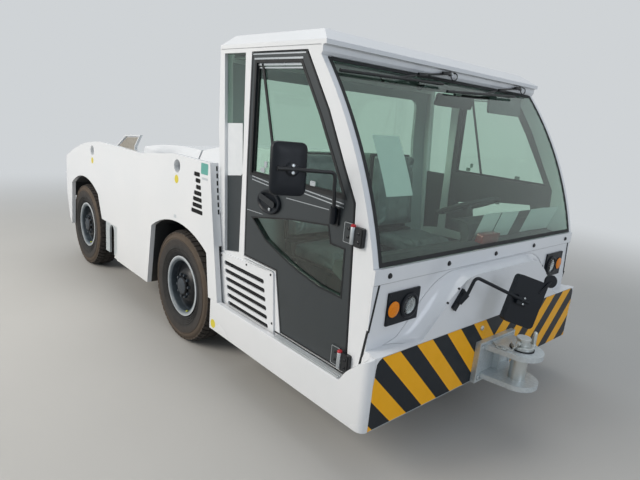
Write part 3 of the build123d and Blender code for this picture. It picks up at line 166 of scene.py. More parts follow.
# Woven seat cloth under its clear polythene wrap, which mirrors the light in creases
seat_cloth = surface("film_wrapped_seat_cloth", "#5C656C", 0.50, "#8B959B", 110, 0.5, 0.10, 26, 3.0,
                     sockets={"Coat Weight": 0.9, "Coat Roughness": 0.12})
# Dusty wire gauze over the intake, seen as a warm grey field
intake_gauze = surface("woven_wire_gauze", "#A39E94", 0.75, "#8B877E", 30, 0.7, 0.1, 3.0, 0.4)
# Light grey trims: anodised aluminium window rails, drawn bright along their length
window_trim = surface("anodised_window_trim", "#C6CBCE", 0.32, "#AEB4B8", 30, 0.6, 0.07, 1.0, 0.01,
                      sockets={"Metallic": 0.8})
# Grey foam-backed roof lining
roof_lining = surface("foam_backed_lining", "#6E7376", 0.92, "#63686B", 60, 0.6, 0.04, 2.2, 0.2)
# Mirror glass: silvered behind, so it is drawn as a polished metal sheet
mirror_glass = surface("silvered_mirror_glass", "#DDE4E8", 0.03, "#D6DDE1", 90, 0.4, 0.01, 1.0, 0.0,
                       sockets={"Metallic": 1.0})
# Metallised lamp reflector, dimpled so that the lamp shows a sparkling texture
reflector = surface("metallised_reflector", "#D4D9DB", 0.16, "#9AA3A8", 7, 0.9, 0.08, 6.0, 1.2,
                    sockets={"Metallic": 1.0})
# Amber and red lamp lenses: injection-moulded coloured plastic with inner prisms
amber_lens = surface("moulded_amber_lens", "#F08C0A", 0.16, "#E07800", 6, 0.6, 0.04, 4.0, 0.3,
                     sockets={"IOR": 1.49, "Specular IOR Level": 0.3})
red_lens = surface("moulded_red_lens", "#9C1513", 0.14, "#7A0D10", 6, 0.7, 0.04, 4.0, 0.3,
                   sockets={"Transmission Weight": 0.25, "IOR": 1.49, "Coat Weight": 0.5})
# Blank vinyl stickers and paper sheets
yellow_vinyl = surface("blank_yellow_vinyl", "#D8C93A", 0.35, "#CFBE33", 20, 0.5, 0.05, 1.0, 0.01)
teal_vinyl = surface("blank_teal_vinyl", "#5FA79C", 0.35, "#55998F", 20, 0.5, 0.05, 1.0, 0.01)
grey_vinyl = surface("blank_grey_vinyl", "#B9C0C4", 0.35, "#AEB6BB", 20, 0.5, 0.05, 1.0, 0.01)
sheet_paper = surface("blank_copier_paper", "#D9DDE0", 0.80, "#D0D5D9", 60, 0.5, 0.05, 1.0, 0.02)
# Red polyethylene hinge caps
red_caps = surface("moulded_red_caps", "#B5222B", 0.35, "#9E1A24", 8, 0.5, 0.05, 1.0, 0.02)
# Yellow-green valve cap
valve_cap_plastic = surface("moulded_valve_cap", "#C8CC3A", 0.35, "#B6BA30", 5, 0.5, 0.05, 1.0, 0.02)


def clear_sheet(name, colour, rough, ior):
    """A glazed pane: it bends and mirrors what is seen through it, and lets light fall through to what is behind."""
    made, tree = blank_material(name)
    coords = add(tree, "ShaderNodeTexCoord").outputs["Object"]
    film = add(tree, "ShaderNodeTexNoise", {"Vector": coords, "Scale": 1000 / 420, "Detail": 2.0}).outputs["Fac"]
    haze = add(tree, "ShaderNodeMapRange", {"Value": film, 1: 0.4, 2: 0.7, 3: rough, 4: rough + 0.015}).outputs[0]
    shaded = add(tree, "ShaderNodeBsdfPrincipled",
                 {"Base Color": linear(colour), "Roughness": haze, "Transmission Weight": 1.0, "IOR": ior})
    open_to_light = add(tree, "ShaderNodeBsdfTransparent", {"Color": linear(colour)})
    shadow = add(tree, "ShaderNodeLightPath").outputs["Is Shadow Ray"]
    mixed = add(tree, "ShaderNodeMixShader", {0: shadow, 1: shaded.outputs[0], 2: open_to_light.outputs[0]})
    add(tree, "ShaderNodeOutputMaterial", {"Surface": mixed.outputs[0]})
    return made


# Float glass with a green body tint, bonded panes
tinted_glass = clear_sheet("green_float_glass", "#D5E8DD", 0.0, 1.45)
# Clear polycarbonate lamp covers
clear_lens = clear_sheet("moulded_clear_lamp_lens", "#F2F4F4", 0.02, 1.4)


def striped_paint():
    """Yellow and near-black hazard bands, 126.5 mm each, falling at 45 degrees towards the middle of the bumper."""
    made, tree = blank_material("masked_hazard_paint")
    coords = add(tree, "ShaderNodeTexCoord").outputs["Object"]
    place = add(tree, "ShaderNodeSeparateXYZ", {0: coords})
    out = add(tree, "ShaderNodeMath", {0: place.outputs["Y"]}, operation="ABSOLUTE").outputs[0]
    slant = add(tree, "ShaderNodeMath", {0: place.outputs["Z"], 1: out}, operation="SUBTRACT").outputs[0]
    shifted = add(tree, "ShaderNodeMath", {0: slant, 1: 0.544}, operation="SUBTRACT").outputs[0]
    band = add(tree, "ShaderNodeMath", {0: shifted, 1: 0.1265}, operation="DIVIDE").outputs[0]
    turn = add(tree, "ShaderNodeMath", {0: band, 1: 2.0}, operation="FLOORED_MODULO").outputs[0]
    dark = add(tree, "ShaderNodeMath", {0: turn, 1: 1.0}, operation="LESS_THAN").outputs[0]
    patches = add(tree, "ShaderNodeTexNoise", {"Vector": coords, "Scale": 1000 / 90, "Detail": 4.0}).outputs["Fac"]
    yellow = add(tree, "ShaderNodeMix", {0: patches, 6: linear("#FFB800"), 7: linear("#F2AC00")},
                 data_type="RGBA").outputs[2]
    black = add(tree, "ShaderNodeMix", {0: patches, 6: linear("#09131C"), 7: linear("#0E1923")},
                data_type="RGBA").outputs[2]
    paint = add(tree, "ShaderNodeMix", {0: dark, 6: yellow, 7: black}, data_type="RGBA").outputs[2]
    gloss = add(tree, "ShaderNodeMapRange", {"Value": patches, 1: 0.3, 2: 0.7, 3: 0.28, 4: 0.42}).outputs[0]
    soft = add(tree, "ShaderNodeBevel", {"Radius": 0.003}, samples=4).outputs[0]
    shaded = add(tree, "ShaderNodeBsdfPrincipled", {"Base Color": paint, "Roughness": gloss, "Normal": soft,
                                                    "Specular IOR Level": 0.3})
    add(tree, "ShaderNodeOutputMaterial", {"Surface": shaded.outputs[0]})
    return made


hazard_paint = striped_paint()


def by_reach(name, bands, rough, patch_mm, depth_mm, **shader):
    """A wheel's finish in rings. The piece's reach attribute is the distance from the axle in metres, and
    bands lists (reach, colour) from the hub out."""
    made, tree = blank_material(name)
    coords = add(tree, "ShaderNodeTexCoord").outputs["Object"]
    reach = add(tree, "ShaderNodeAttribute", attribute_name="reach").outputs["Fac"]
    patches = add(tree, "ShaderNodeTexNoise", {"Vector": coords, "Scale": 1000 / patch_mm,
                                               "Detail": 5.0}).outputs["Fac"]
    grain = add(tree, "ShaderNodeTexNoise", {"Vector": coords, "Scale": 1000 / 2.5}).outputs["Fac"]
    paint = add(tree, "ShaderNodeMix", {0: patches, 6: linear(bands[0][1]), 7: linear(bands[0][1])},
                data_type="RGBA").outputs[2]
    for start, colour in bands[1:]:
        inside = add(tree, "ShaderNodeMath", {0: patches, 1: 0.012}, operation="MULTIPLY").outputs[0]
        edge = add(tree, "ShaderNodeMath", {0: reach, 1: inside}, operation="ADD").outputs[0]
        share = add(tree, "ShaderNodeMapRange", {"Value": edge, 1: start, 2: start + 0.012, 3: 0.0, 4: 1.0}).outputs[0]
        paint = add(tree, "ShaderNodeMix", {0: share, 6: paint, 7: linear(colour)}, data_type="RGBA").outputs[2]
    gloss = add(tree, "ShaderNodeMapRange", {"Value": patches, 1: 0.3, 2: 0.7, 3: rough - 0.08,
                                             4: rough + 0.08}).outputs[0]
    bump = add(tree, "ShaderNodeBump", {"Strength": 1.0, "Distance": depth_mm / 1000, "Height": grain}).outputs[0]
    shaded = add(tree, "ShaderNodeBsdfPrincipled", {"Base Color": paint, "Roughness": gloss, "Normal": bump, **shader})
    add(tree, "ShaderNodeOutputMaterial", {"Surface": shaded.outputs[0]})
    return made


# Moulded tyre rubber: dark sidewall, brown dust on the shoulder, and a darker brownish tread band that is dust with
# painted shade
tyre_rubber = by_reach("moulded_tyre_rubber", [(0.0, "#1B1C1D"), (0.250, "#2B2A29"), (0.300, "#35312E"),
                                               (0.345, "#51463B"), (0.392, "#2D2926")], 0.80, 45, 0.25)

# Hub caps and wheel nuts: a dark blue-grey that is painted shade deep in the wheel's dish, with dust towards the
# ground
rim_dark = surface("hub_paint_painted_shade", "#2B3742", 0.42, "#232C35", 60, 0.6, 0.07, 2.0, 0.02, "#5E5850", 0.6, 0.3,
                   1.5)

# The frame's own nodes that stay visible, and the finish each one carries
node_finishes = [
    (white_enamel, ["cab_frame", "roof", "nose_panel", "side_panel_right", "side_panel_left", "rear_cowl",
                    "engine_hood", "rear_bumper", "windscreen_strip", "louvre_panels"]),
    (inner_enamel, ["cab_rear_wall"]),
    (floor_film, ["cab_floor"]),
    (charcoal_paint, ["door_right", "door_left", "quarter_panels"]),
    (chassis_paint, ["chassis_frame", "front_axle", "rear_axle", "knuckle_right", "knuckle_left",
                     "arch_liners", "rear_hitch"]),
    (black_steel, ["wipers"]),
    (moulded_plastic, ["front_mirror"]),
    (dash_plastic, ["dashboard", "steering_wheel"]),
    (tinted_glass, ["windscreen", "cab_windows", "door_glass_right", "door_glass_left"]),
    (galvanised, ["front_hitch", "lashing_plates"]),
    (cast_iron, ["engine_block"]),
    (red_lens, ["tail_lamps"]),
]
for finish, names in node_finishes:
    for name in names:
        for place in nodes[name].material_slots:
            place.material = finish


# Making pieces

def piece(name, body, mesh, *finishes, smooth_deg=35):
    """A mesh as a named piece that rides on a body, smooth where its faces meet at less than the given angle."""
    made = bpy.data.objects.new(name, mesh)
    bpy.context.scene.collection.objects.link(made)
    mesh.materials.clear()
    for finish in finishes:
        mesh.materials.append(finish)
    mesh.shade_smooth()
    mesh.set_sharp_from_angle(angle=math.radians(smooth_deg))
    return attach(made, body)


def turned(profile, centre, axis, steps=96):
    """A lathed mesh: profile is a closed list of (radius, along) in metres, turned round the axis."""
    mesh = bpy.data.meshes.new("turned")
    side = Vector(axis).normalized()
    up = side.orthogonal().normalized()
    across = side.cross(up)
    points, faces = [], []
    for step in range(steps):
        angle = 2 * math.pi * step / steps
        spoke = up * math.cos(angle) + across * math.sin(angle)
        points += [centre + spoke * radius + side * along for radius, along in profile]
    count = len(profile)
    for step in range(steps):
        for k in range(count):
            a, b = step * count + k, step * count + (k + 1) % count
            c, d = ((step + 1) % steps) * count + (k + 1) % count, ((step + 1) % steps) * count + k
            faces.append((a, b, c, d))
    mesh.from_pydata(points, [], faces)
    reach = mesh.attributes.new("reach", "FLOAT", "POINT")
    for index, vertex in enumerate(mesh.vertices):
        reach.data[index].value = profile[index % count][0]
    shell = bmesh.new()
    shell.from_mesh(mesh)
    bmesh.ops.remove_doubles(shell, verts=shell.verts, dist=1e-5)
    bmesh.ops.recalc_face_normals(shell, faces=shell.faces)
    shell.to_mesh(mesh)
    shell.free()
    return mesh


cab_half = -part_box("door_right")[0].y * 1000
body_half = -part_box("sills")[0].y * 1000
sides = (("right", -1), ("left", 1))


# Shapes, as lists of points in metres and lists of faces; sizes are given in millimetres

def form(*parts):
    """Parts as one mesh whose faces point outwards."""
    points, faces = [], []
    for part_points, part_faces in parts:
        faces += [[index + len(points) for index in face] for face in part_faces]
        points += part_points
    mesh = bpy.data.meshes.new("form")
    mesh.from_pydata(points, [], faces)
    shell = bmesh.new()
    shell.from_mesh(mesh)
    bmesh.ops.remove_doubles(shell, verts=shell.verts, dist=1e-6)
    bmesh.ops.recalc_face_normals(shell, faces=shell.faces)
    shell.to_mesh(mesh)
    shell.free()
    return mesh


def plate(corners, depth):
    """An outline thickened by a vector."""
    count = len(corners)
    points = list(corners) + [corner + depth for corner in corners]
    faces = [list(range(count))[::-1], list(range(count, 2 * count))]
    faces += [[k, (k + 1) % count, count + (k + 1) % count, count + k] for k in range(count)]
    return points, faces


def skin(rings, first_end=True):
    """Rings of points joined to a skin with its ends closed."""
    count = len(rings[0])
    faces = [[k * count + j, k * count + (j + 1) % count, (k + 1) * count + (j + 1) % count, (k + 1) * count + j]
             for k in range(len(rings) - 1) for j in range(count)]
    faces += [list(range(count))[::-1]] if first_end else []
    return [point for ring in rings for point in ring], faces + [list(range((len(rings) - 1) * count,
                                                                            len(rings) * count))]


def profile_at(side, table):
    """An outline of (back, height) pairs at one distance to the left of the middle."""
    return [at(back, side, height) for back, height in table]


def rounded(width, tall, corner):
    """A rectangle with rounded corners, about its middle."""
    return [(sx * (width / 2 - corner) + corner * math.cos(math.radians(start + turn)),
             sy * (tall / 2 - corner) + corner * math.sin(math.radians(start + turn)))
            for sx, sy, start in ((1, 1, 0), (-1, 1, 90), (-1, -1, 180), (1, -1, 270)) for turn in (0, 30, 60, 90)]


def panel(centre, across, up, width, tall, corner, thick):
    """A plate with rounded corners, its thickness towards across x up."""
    across, up = Vector(across).normalized(), Vector(up).normalized()
    return plate([centre + (across * u + up * v) / 1000 for u, v in rounded(width, tall, corner)],
                 across.cross(up) * thick / 1000)


def lathe(profile, centre, axis, steps=32):
    """Pairs of (radius, height), from the axis round to the axis, turned about a direction."""
    side = Vector(axis).normalized()
    up = side.orthogonal().normalized()
    across = side.cross(up)
    count = len(profile)
    points = [centre + ((up * math.cos(turn) + across * math.sin(turn)) * radius + side * height) / 1000
              for turn in (2 * math.pi * k / steps for k in range(steps)) for radius, height in profile]
    faces = [[k * count + j, k * count + j + 1, (k + 1) % steps * count + j + 1, (k + 1) % steps * count + j]
             for k in range(steps) for j in range(count - 1)]
    return points, faces


def strip(path, width, out, proud, closed=False):
    """A flat moulding along a path. Its width lies in the face that out points away from."""
    count = len(path)
    outs = out if isinstance(out, list) else [out] * count
    points = []
    for k, point in enumerate(path):
        after = path[(k + 1) % count] - point if closed or k < count - 1 else point - path[k - 1]
        before = point - path[k - 1] if closed or k else after
        before, after = before.normalized(), after.normalized()
        along = (before + after).normalized()
        side = outs[k].cross(along) * (width / 2000 / max(0.4, along.dot(before)))
        rise = outs[k] * proud / 1000
        points += [point - side, point + side, point + side + rise, point - side + rise]
    faces = [[4 * k + j, 4 * k + (j + 1) % 4, 4 * ((k + 1) % count) + (j + 1) % 4, 4 * ((k + 1) % count) + j]
             for k in range(count if closed else count - 1) for j in range(4)]
    if not closed:
        faces += [[3, 2, 1, 0], [4 * count - 4, 4 * count - 3, 4 * count - 2, 4 * count - 1]]
    return points, faces


def tube(path, radius, steps=10):
    """A round bar along a path, its ends closed."""
    side = (path[1] - path[0]).orthogonal().normalized()
    rings = []
    for k, point in enumerate(path):
        along = (path[min(k + 1, len(path) - 1)] - path[max(k - 1, 0)]).normalized()
        side = (side - along * side.dot(along)).normalized()
        across = along.cross(side)
        rings.append([point + (side * math.cos(turn) + across * math.sin(turn)) * radius / 1000
                      for turn in (2 * math.pi * j / steps for j in range(steps))])
    return skin(rings)


def eased(knots, parts=6):
    """A smooth path through a few points."""
    ends = [knots[0] * 2 - knots[1]] + list(knots) + [knots[-1] * 2 - knots[-2]]
    path = []
    for a, b, c, d in zip(ends, ends[1:], ends[2:], ends[3:]):
        for k in range(parts):
            s = k / parts
            path.append((b * 2 + (c - a) * s + (a * 2 - b * 5 + c * 4 - d) * s ** 2
                         + (b * 3 - a - c * 3 + d) * s ** 3) / 2)
    return path + [knots[-1]]


def inset(table, amount):
    """A closed outline of (back, height) pairs, moved inwards."""
    flat = [Vector(pair) for pair in table]
    area = sum(a.cross(b) for a, b in zip(flat, flat[1:] + flat[:1]))
    turn = 1 if area > 0 else -1
    moved = []
    for k, point in enumerate(flat):
        before = (point - flat[k - 1]).normalized()
        after = (flat[(k + 1) % len(flat)] - point).normalized()
        normal = Vector((-(before + after).y, (before + after).x)).normalized() * turn
        reach = amount / max(0.4, normal.dot(Vector((-before.y, before.x))) * turn)
        moved.append(tuple(point + normal * reach))
    return moved


# What repeats is placed by node trees with named inputs

def tree_of(name, sockets):
    tree = bpy.data.node_groups.new(name, "GeometryNodeTree")
    for label, kind in sockets:
        tree.interface.new_socket(label, in_out="INPUT", socket_type=f"NodeSocket{kind}")
    tree.interface.new_socket("Geometry", in_out="OUTPUT", socket_type="NodeSocketGeometry")
    return tree, add(tree, "NodeGroupInput").outputs


def finish_tree(tree, spots, turn, given):
    """The copies on the spots, made real and given their finish."""
    copy = add(tree, "GeometryNodeObjectInfo", {"Object": given["Copy"]}).outputs["Geometry"]
    spread = add(tree, "GeometryNodeInstanceOnPoints", {"Points": spots, "Instance": copy, **turn}).outputs[0]
    solid = add(tree, "GeometryNodeRealizeInstances", {"Geometry": spread}).outputs[0]
    made = add(tree, "GeometryNodeSetMaterial", {"Geometry": solid, "Material": given["Finish"]}).outputs[0]
    add(tree, "NodeGroupOutput", {"Geometry": made})


# Screws and bolts on given points, each turned to its face
fixing_tree, given = tree_of("fixings_on_faces", [("Geometry", "Geometry"), ("Copy", "Object"),
                                                  ("Finish", "Material")])
facing = add(fixing_tree, "GeometryNodeInputNamedAttribute", {"Name": "facing"}, data_type="FLOAT_VECTOR").outputs[0]
aimed = add(fixing_tree, "FunctionNodeAlignRotationToVector", {"Vector": facing}, axis="Z").outputs[0]
finish_tree(fixing_tree, given["Geometry"], {"Rotation": aimed}, given)

# Lugs and nuts spaced evenly round an axle
axle_tree, given = tree_of("copies_round_axle", [("Copy", "Object"), ("Count", "Int"), ("Centre", "Vector"),
                                                 ("Start", "Float"), ("Finish", "Material")])
spots = add(axle_tree, "GeometryNodeMeshLine", {"Count": given["Count"], "Start Location": given["Centre"],
                                                "Offset": (0, 0, 0)}).outputs[0]
share = add(axle_tree, "ShaderNodeMath", {0: add(axle_tree, "GeometryNodeInputIndex").outputs[0],
                                          1: given["Count"]}, operation="DIVIDE").outputs[0]
angle = add(axle_tree, "ShaderNodeMath", {0: share, 1: 2 * math.pi, 2: given["Start"]},
            operation="MULTIPLY_ADD").outputs[0]
spin = add(axle_tree, "ShaderNodeCombineXYZ", {"Y": angle}).outputs[0]
finish_tree(axle_tree, spots, {"Rotation": add(axle_tree, "FunctionNodeEulerToRotation", {0: spin}).outputs[0]}, given)

# Teeth, slats and ribs spaced evenly between two points
row_tree, given = tree_of("copies_in_a_row", [("Copy", "Object"), ("Count", "Int"), ("First", "Vector"),
                                              ("Last", "Vector"), ("Finish", "Material")])
spots = add(row_tree, "GeometryNodeMeshLine", {"Count": given["Count"], "Start Location": given["First"],
                                               "Offset": given["Last"]}, mode="END_POINTS").outputs[0]
finish_tree(row_tree, spots, {}, given)

# Chain links along a route, every other one turned a quarter
chain_tree, given = tree_of("links_on_route", [("Geometry", "Geometry"), ("Copy", "Object"), ("Pitch", "Float"),
                                               ("Finish", "Material")])
route = add(chain_tree, "GeometryNodeMeshToCurve", {0: given["Geometry"]}).outputs[0]
even = add(chain_tree, "GeometryNodeResampleCurve", {"Curve": route, "Length": given["Pitch"]}, mode="LENGTH")
line = add(chain_tree, "GeometryNodeCurveToPoints", {0: even.outputs[0]}, mode="EVALUATED").outputs
odd = add(chain_tree, "ShaderNodeMath", {0: add(chain_tree, "GeometryNodeInputIndex").outputs[0], 1: 2.0},
          operation="MODULO").outputs[0]
quarter = add(chain_tree, "ShaderNodeMath", {0: odd, 1: math.pi / 2}, operation="MULTIPLY").outputs[0]
roll = add(chain_tree, "FunctionNodeEulerToRotation",
           {0: add(chain_tree, "ShaderNodeCombineXYZ", {"Z": quarter}).outputs[0]}).outputs[0]
turned_link = add(chain_tree, "FunctionNodeRotateRotation", {0: line["Rotation"], 1: roll}, rotation_space="LOCAL")
finish_tree(chain_tree, line["Points"], {"Rotation": turned_link.outputs[0]}, given)


def grown(tree, shape, finish, start=None, **values):
    """The mesh that a tree makes from one small shape."""
    host = bpy.data.objects.new("host", start or bpy.data.meshes.new("host"))
    copy = bpy.data.objects.new("copy", form(*shape))
    bpy.context.scene.collection.objects.link(host)
    maker = host.modifiers.new("maker", "NODES")
    maker.node_group = tree
    keys = {item.name: item.identifier for item in tree.interface.items_tree if item.in_out == "INPUT"}
    for name, value in {"Copy": copy, "Finish": finish, **values}.items():
        maker[keys[name]] = value
    mesh = bpy.data.meshes.new_from_object(host.evaluated_get(bpy.context.evaluated_depsgraph_get()))
    bpy.data.objects.remove(host)
    bpy.data.objects.remove(copy)
    return mesh


def fixings(name, body, shape, spots, finish):
    """Copies of a small shape, each at a point and facing a direction."""
    seat = bpy.data.meshes.new("spots")
    seat.from_pydata([point for point, out in spots], [], [])
    facing = seat.attributes.new("facing", "FLOAT_VECTOR", "POINT")
    for k, (point, out) in enumerate(spots):
        facing.data[k].vector = Vector(out).normalized()
    return piece(name, body, grown(fixing_tree, shape, finish, seat), finish)


origin, ahead = Vector((0, 0, 0)), Vector((1, 0, 0))
# A panel's directions of width and height, where it lies along the tractor's side or across its front
along, abreast = ((1, 0, 0), (0, 0, 1)), ((0, 1, 0), (0, 0, 1))


def screw_head(radius):
    """A domed head with a round socket."""
    return [lathe([(0, 0), (radius, 0), (radius * 0.86, radius * 0.42), (radius * 0.45, radius * 0.62),
                   (radius * 0.40, radius * 0.30), (0, radius * 0.30)], origin, (0, 0, 1), 14)]


def hex_head(radius, tall):
    """A hexagon head on its washer."""
    return [lathe([(0, 0), (radius * 1.25, 0), (radius * 1.25, tall * 0.22), (0, tall * 0.22)], origin, (0, 0, 1),
                  18),
            lathe([(0, tall * 0.2), (radius, tall * 0.2), (radius, tall * 0.85), (radius * 0.86, tall), (0, tall)],
                  origin, (0, 0, 1), 6)]


# Blank sheets taped inside the right quarter window
piece("quarter_paper", "body", form(
    plate(profile_at(18 - cab_half, ((1465, 1610), (1240, 1625), (1212, 1340), (1226, 1322), (1430, 1292),
                                     (1452, 1306))), Vector((0, 0.0005, 0)))), sheet_paper)

# Windscreen: its arc seen from the side, from the strip up to the roof
screen_foot, screen_bulge, screen_head = Vector((95, 1070)), Vector((278, 1548)), Vector((572, 1986))


def circle_through(a, b, c):
    """The centre of the circle through three points."""
    turn = 2 * ((b - a).x * (c - a).y - (b - a).y * (c - a).x)
    near, far = (b - a).length_squared, (c - a).length_squared
    return a + Vector(((c - a).y * near - (b - a).y * far, (b - a).x * far - (c - a).x * near)) / turn


screen_centre = circle_through(screen_foot, screen_bulge, screen_head)
screen_radius = (screen_foot - screen_centre).length


def on_screen(side, height, lift=0):
    """A point on the windscreen's outer face, and the direction that it faces."""
    back = screen_centre.x - math.sqrt(screen_radius ** 2 - (height - screen_centre.y) ** 2)
    out = Vector((screen_centre.x - back, 0, height - screen_centre.y)).normalized()
    return at(back, side, height) + out * lift / 1000, out


def up_screen(side, low, high, lift=0, steps=16):
    """Points and directions up the windscreen."""
    both = [on_screen(side, low + (high - low) * k / steps, lift) for k in range(steps + 1)]
    return [point for point, out in both], [out for point, out in both]


seals = []
for side in (-(cab_half - 46), cab_half - 46):
    path, outs = up_screen(side, 1076, 1980)
    seals.append(strip(path, 20, outs, 3))
for height in (1080, 1976):
    ends = [on_screen(side, height) for side in (-(cab_half - 38), cab_half - 38)]
    seals.append(strip([point for point, out in ends], 22, ends[0][1], 3))
piece("windscreen_seal", "body", form(*seals), black_rubber)
path, outs = up_screen(-790, 1374, 1648, -7.5)
piece("screen_paper", "body", form(strip(path, 196, outs, -0.4)), sheet_paper)

# Washer hoses looped from under the roof's lip to the wipers
hoses = []
for pivot in (-30, 822):
    knots = [at(558, pivot + 36, 2030), at(550, pivot + 62, 2020), at(546, pivot + 58, 1996),
             at(546, pivot + 30, 1984), at(547, pivot + 6, 1994), at(550, pivot, 2012)]
    hoses.append(tube(eased(knots), 3.2, 8))
piece("wiper_hoses", "body", form(*hoses), black_rubber)
piece("wiper_joints", "body", form(*[
    panel(at(back, reach, height), (0, 1, 0.06), (1, 0, 0), 74, 22, 8, -16)
    for back, reach, height in ((524, -330, 1974), (540, -92, 2008), (520, 520, 1972), (540, 760, 2008))]),
    black_steel)
fixings("wiper_nuts", "body", hex_head(7, 7), [(at(546, pivot, 2019), ahead) for pivot in (-30, 822)], bright_steel)

# Doors
upper_opening = [(1098, 1352), (1108, 1962), (716, 1962), (545, 1718), (410, 1500), (322, 1352)]
lower_opening = [(1063, 1105), (712, 1168), (413, 1202), (385, 1118), (286, 1115), (277, 872), (443, 875),
                 (611, 906), (768, 950), (918, 1002)]
hinge_heights = (574, 1197)
for side_name, sign in sides:
    out = Vector((0, sign, 0))
    door = f"door_{side_name}"

    def on_door(table, lift=0.0):
        """An outline on the door's outer face, or at a distance from it."""
        return profile_at(sign * (cab_half + lift), table)

    piece(f"{door}_seals", door, form(
        strip(on_door(inset(upper_opening, -1)), 15, out, 2.5, True),
        strip(on_door(inset(upper_opening, 9), -15), 14, out, 4, True),
        strip(on_door(inset(lower_opening, 1)), 9, out, 2, True),
        strip(on_door([(867, 1352), (1060, 1954)], -15), 17, out, 7),
        strip(on_door([(1098, 1362), (330, 1362)], -15), 13, out, 8)), black_rubber)
    piece(f"{door}_window_rails", door, form(
        strip(on_door([(1098, 1949), (724, 1949)], -15), 13, out, 7),
        strip(on_door([(1090, 1932), (716, 1932)], -15), 8, out, 4),
        panel(at(995, sign * (cab_half - 11), 1387), *along, 40, 26, 5, -6 * sign),
        panel(at(970, sign * (cab_half - 11), 1420), *along, 24, 34, 5, -6 * sign),
        panel(at(563, sign * (cab_half - 11), 1380), *along, 40, 24, 5, -6 * sign),
        panel(at(690, sign * (cab_half - 34), 1176), *along, 60, 40, 6, -8 * sign)), window_trim)
    piece(f"{door}_trims", door, form(
        *[strip(on_door([(1081, 1341 + drop), (891, 1326 + drop)]), 5, out, 2.5) for drop in (0, -18)],
        *[strip(on_door([(610, 1340 + drop), (322, 1322 + drop)]), 5, out, 2.5) for drop in (0, -18)],
        strip(on_door([(1118, 1140), (960, 1142)]), 3.5, out, 1.2),
        strip(on_door([(757, 1272), (420, 1276)]), 3.5, out, 1.2)), window_trim)
    piece(f"{door}_header_bands", door, form(
        strip(on_door([(1140, 2001), (688, 2001)]), 7, out, 2),
        strip(on_door([(1126, 1977), (706, 1977)]), 9, out, 2)), window_trim)

    # Handle: an oval bowl, a paddle across it and the lock
    handle = at(899, sign * (cab_half + 14), 1224)

    def oval(wide, tall, lift, slide=0, drop=0, steps=40):
        """An oval around the handle's middle, or shifted from it."""
        return [handle + Vector((-slide + wide / 2 * math.cos(turn), sign * lift, -drop + tall / 2 * math.sin(turn)))
                / 1000 for turn in (2 * math.pi * k / steps for k in range(steps))]

    piece(f"{door}_handle_bowl", door, form(skin(
        [oval(204, 134, -13), oval(204, 134, -3), oval(198, 128, 3), oval(184, 114, 4), oval(172, 102, 1),
         oval(150, 84, -6, 4, 2)], first_end=False)), moulded_plastic)
    piece(f"{door}_handle", door, form(
        plate([handle + Vector((-8 + u * 0.97 + v * 0.24, -sign * 4, 8 + v * 0.97 - u * 0.24)) / 1000
               for u, v in rounded(150, 34, 15)], out * 0.011)), handle_plastic)
    piece(f"{door}_lock", door, form(
        lathe([(0, 0), (9, 0), (9, 7), (6, 8), (0, 8)], handle + Vector((0.018, -sign * 0.003, -0.038)), out, 20)),
        window_trim)
    edge = [(1157, 2016), (675, 2016), (479, 1740), (343, 1501), (247, 1340), (218, 933), (188, 508)]
    piece(f"{door}_edge_seal", door, form(
        strip(on_door(inset(edge + [(724, 508), (803, 849), (1122, 853), (1147, 1423)], 11)), 6, out, 1.2, True)),
        black_rubber)

    # Hinges: a flat leaf on the door in its own colour, a thick black one on the pillar and a bright knuckle
    bare, caps = [], []
    for height in hinge_heights:
        axis = at(228, sign * (cab_half + 20), height)
        made = piece(f"{door}_hinge_leaf_{height}", door, form(
            panel(at(270, sign * cab_half, height), *along, 62, 100, 5, -6 * sign)), charcoal_paint)
        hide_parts(f"door_fittings_{side_name}")
        edge = [at(270 - u, sign * (cab_half + 6), height + v) for u, v in rounded(56, 94, 4)]
        piece(f"{door}_hinge_rim_{height}", door, form(strip(edge, 2.5, out, 0.8, True)), window_trim)
        made = piece(f"pillar_hinge_leaf_{side_name}_{height}", "body", form(
            panel(at(192, sign * cab_half, height - 4), *along, 56, 92, 8, -20 * sign),
            panel(at(186, sign * (cab_half + 20), height - 4), *along, 34, 80, 10, -4 * sign)), black_steel)
        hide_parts("door_hinges")
        bare.append(lathe([(0, -42), (11, -42), (12, -40), (12, 38), (11, 40), (0, 40)], axis, (0, 0, 1), 24))
        caps.append(lathe([(0, 40), (12.5, 40), (12.5, 47), (9, 51), (0, 52)], axis, (0, 0, 1), 20))
    piece(f"hinge_knuckles_{side_name}", "body", form(*bare), window_trim)
    piece(f"hinge_caps_{side_name}", "body", form(*caps), red_caps)
    fixings(f"{door}_hinge_screws", door, screw_head(8),
            [(at(270, sign * (cab_half + 6), height + lift), out) for height in hinge_heights for lift in (-20, 20)],
            handle_plastic)
    fixings(f"pillar_hinge_screws_{side_name}", "body", screw_head(8),
            [(at(186, sign * (cab_half + 24), height - 4 + lift), out)
             for height in hinge_heights for lift in (-20, 20)],
            handle_plastic)

    # The gap lines of the cab's foot and of the nose panel's slanted joint, filled with rubber
    piece(f"gap_strips_{side_name}", "body", form(
        strip([at(100, sign * cab_half, 502.5), at(1330, sign * cab_half, 502.5)], 9, out, 1.5),
        strip([at(85, sign * cab_half, 776), at(110, sign * cab_half, 596)], 13, out, 2),
        strip([at(84.5, sign * (cab_half - 40), 994), at(84.5, sign * (cab_half - 4), 766)], 11,
              ahead, 2)), black_rubber)

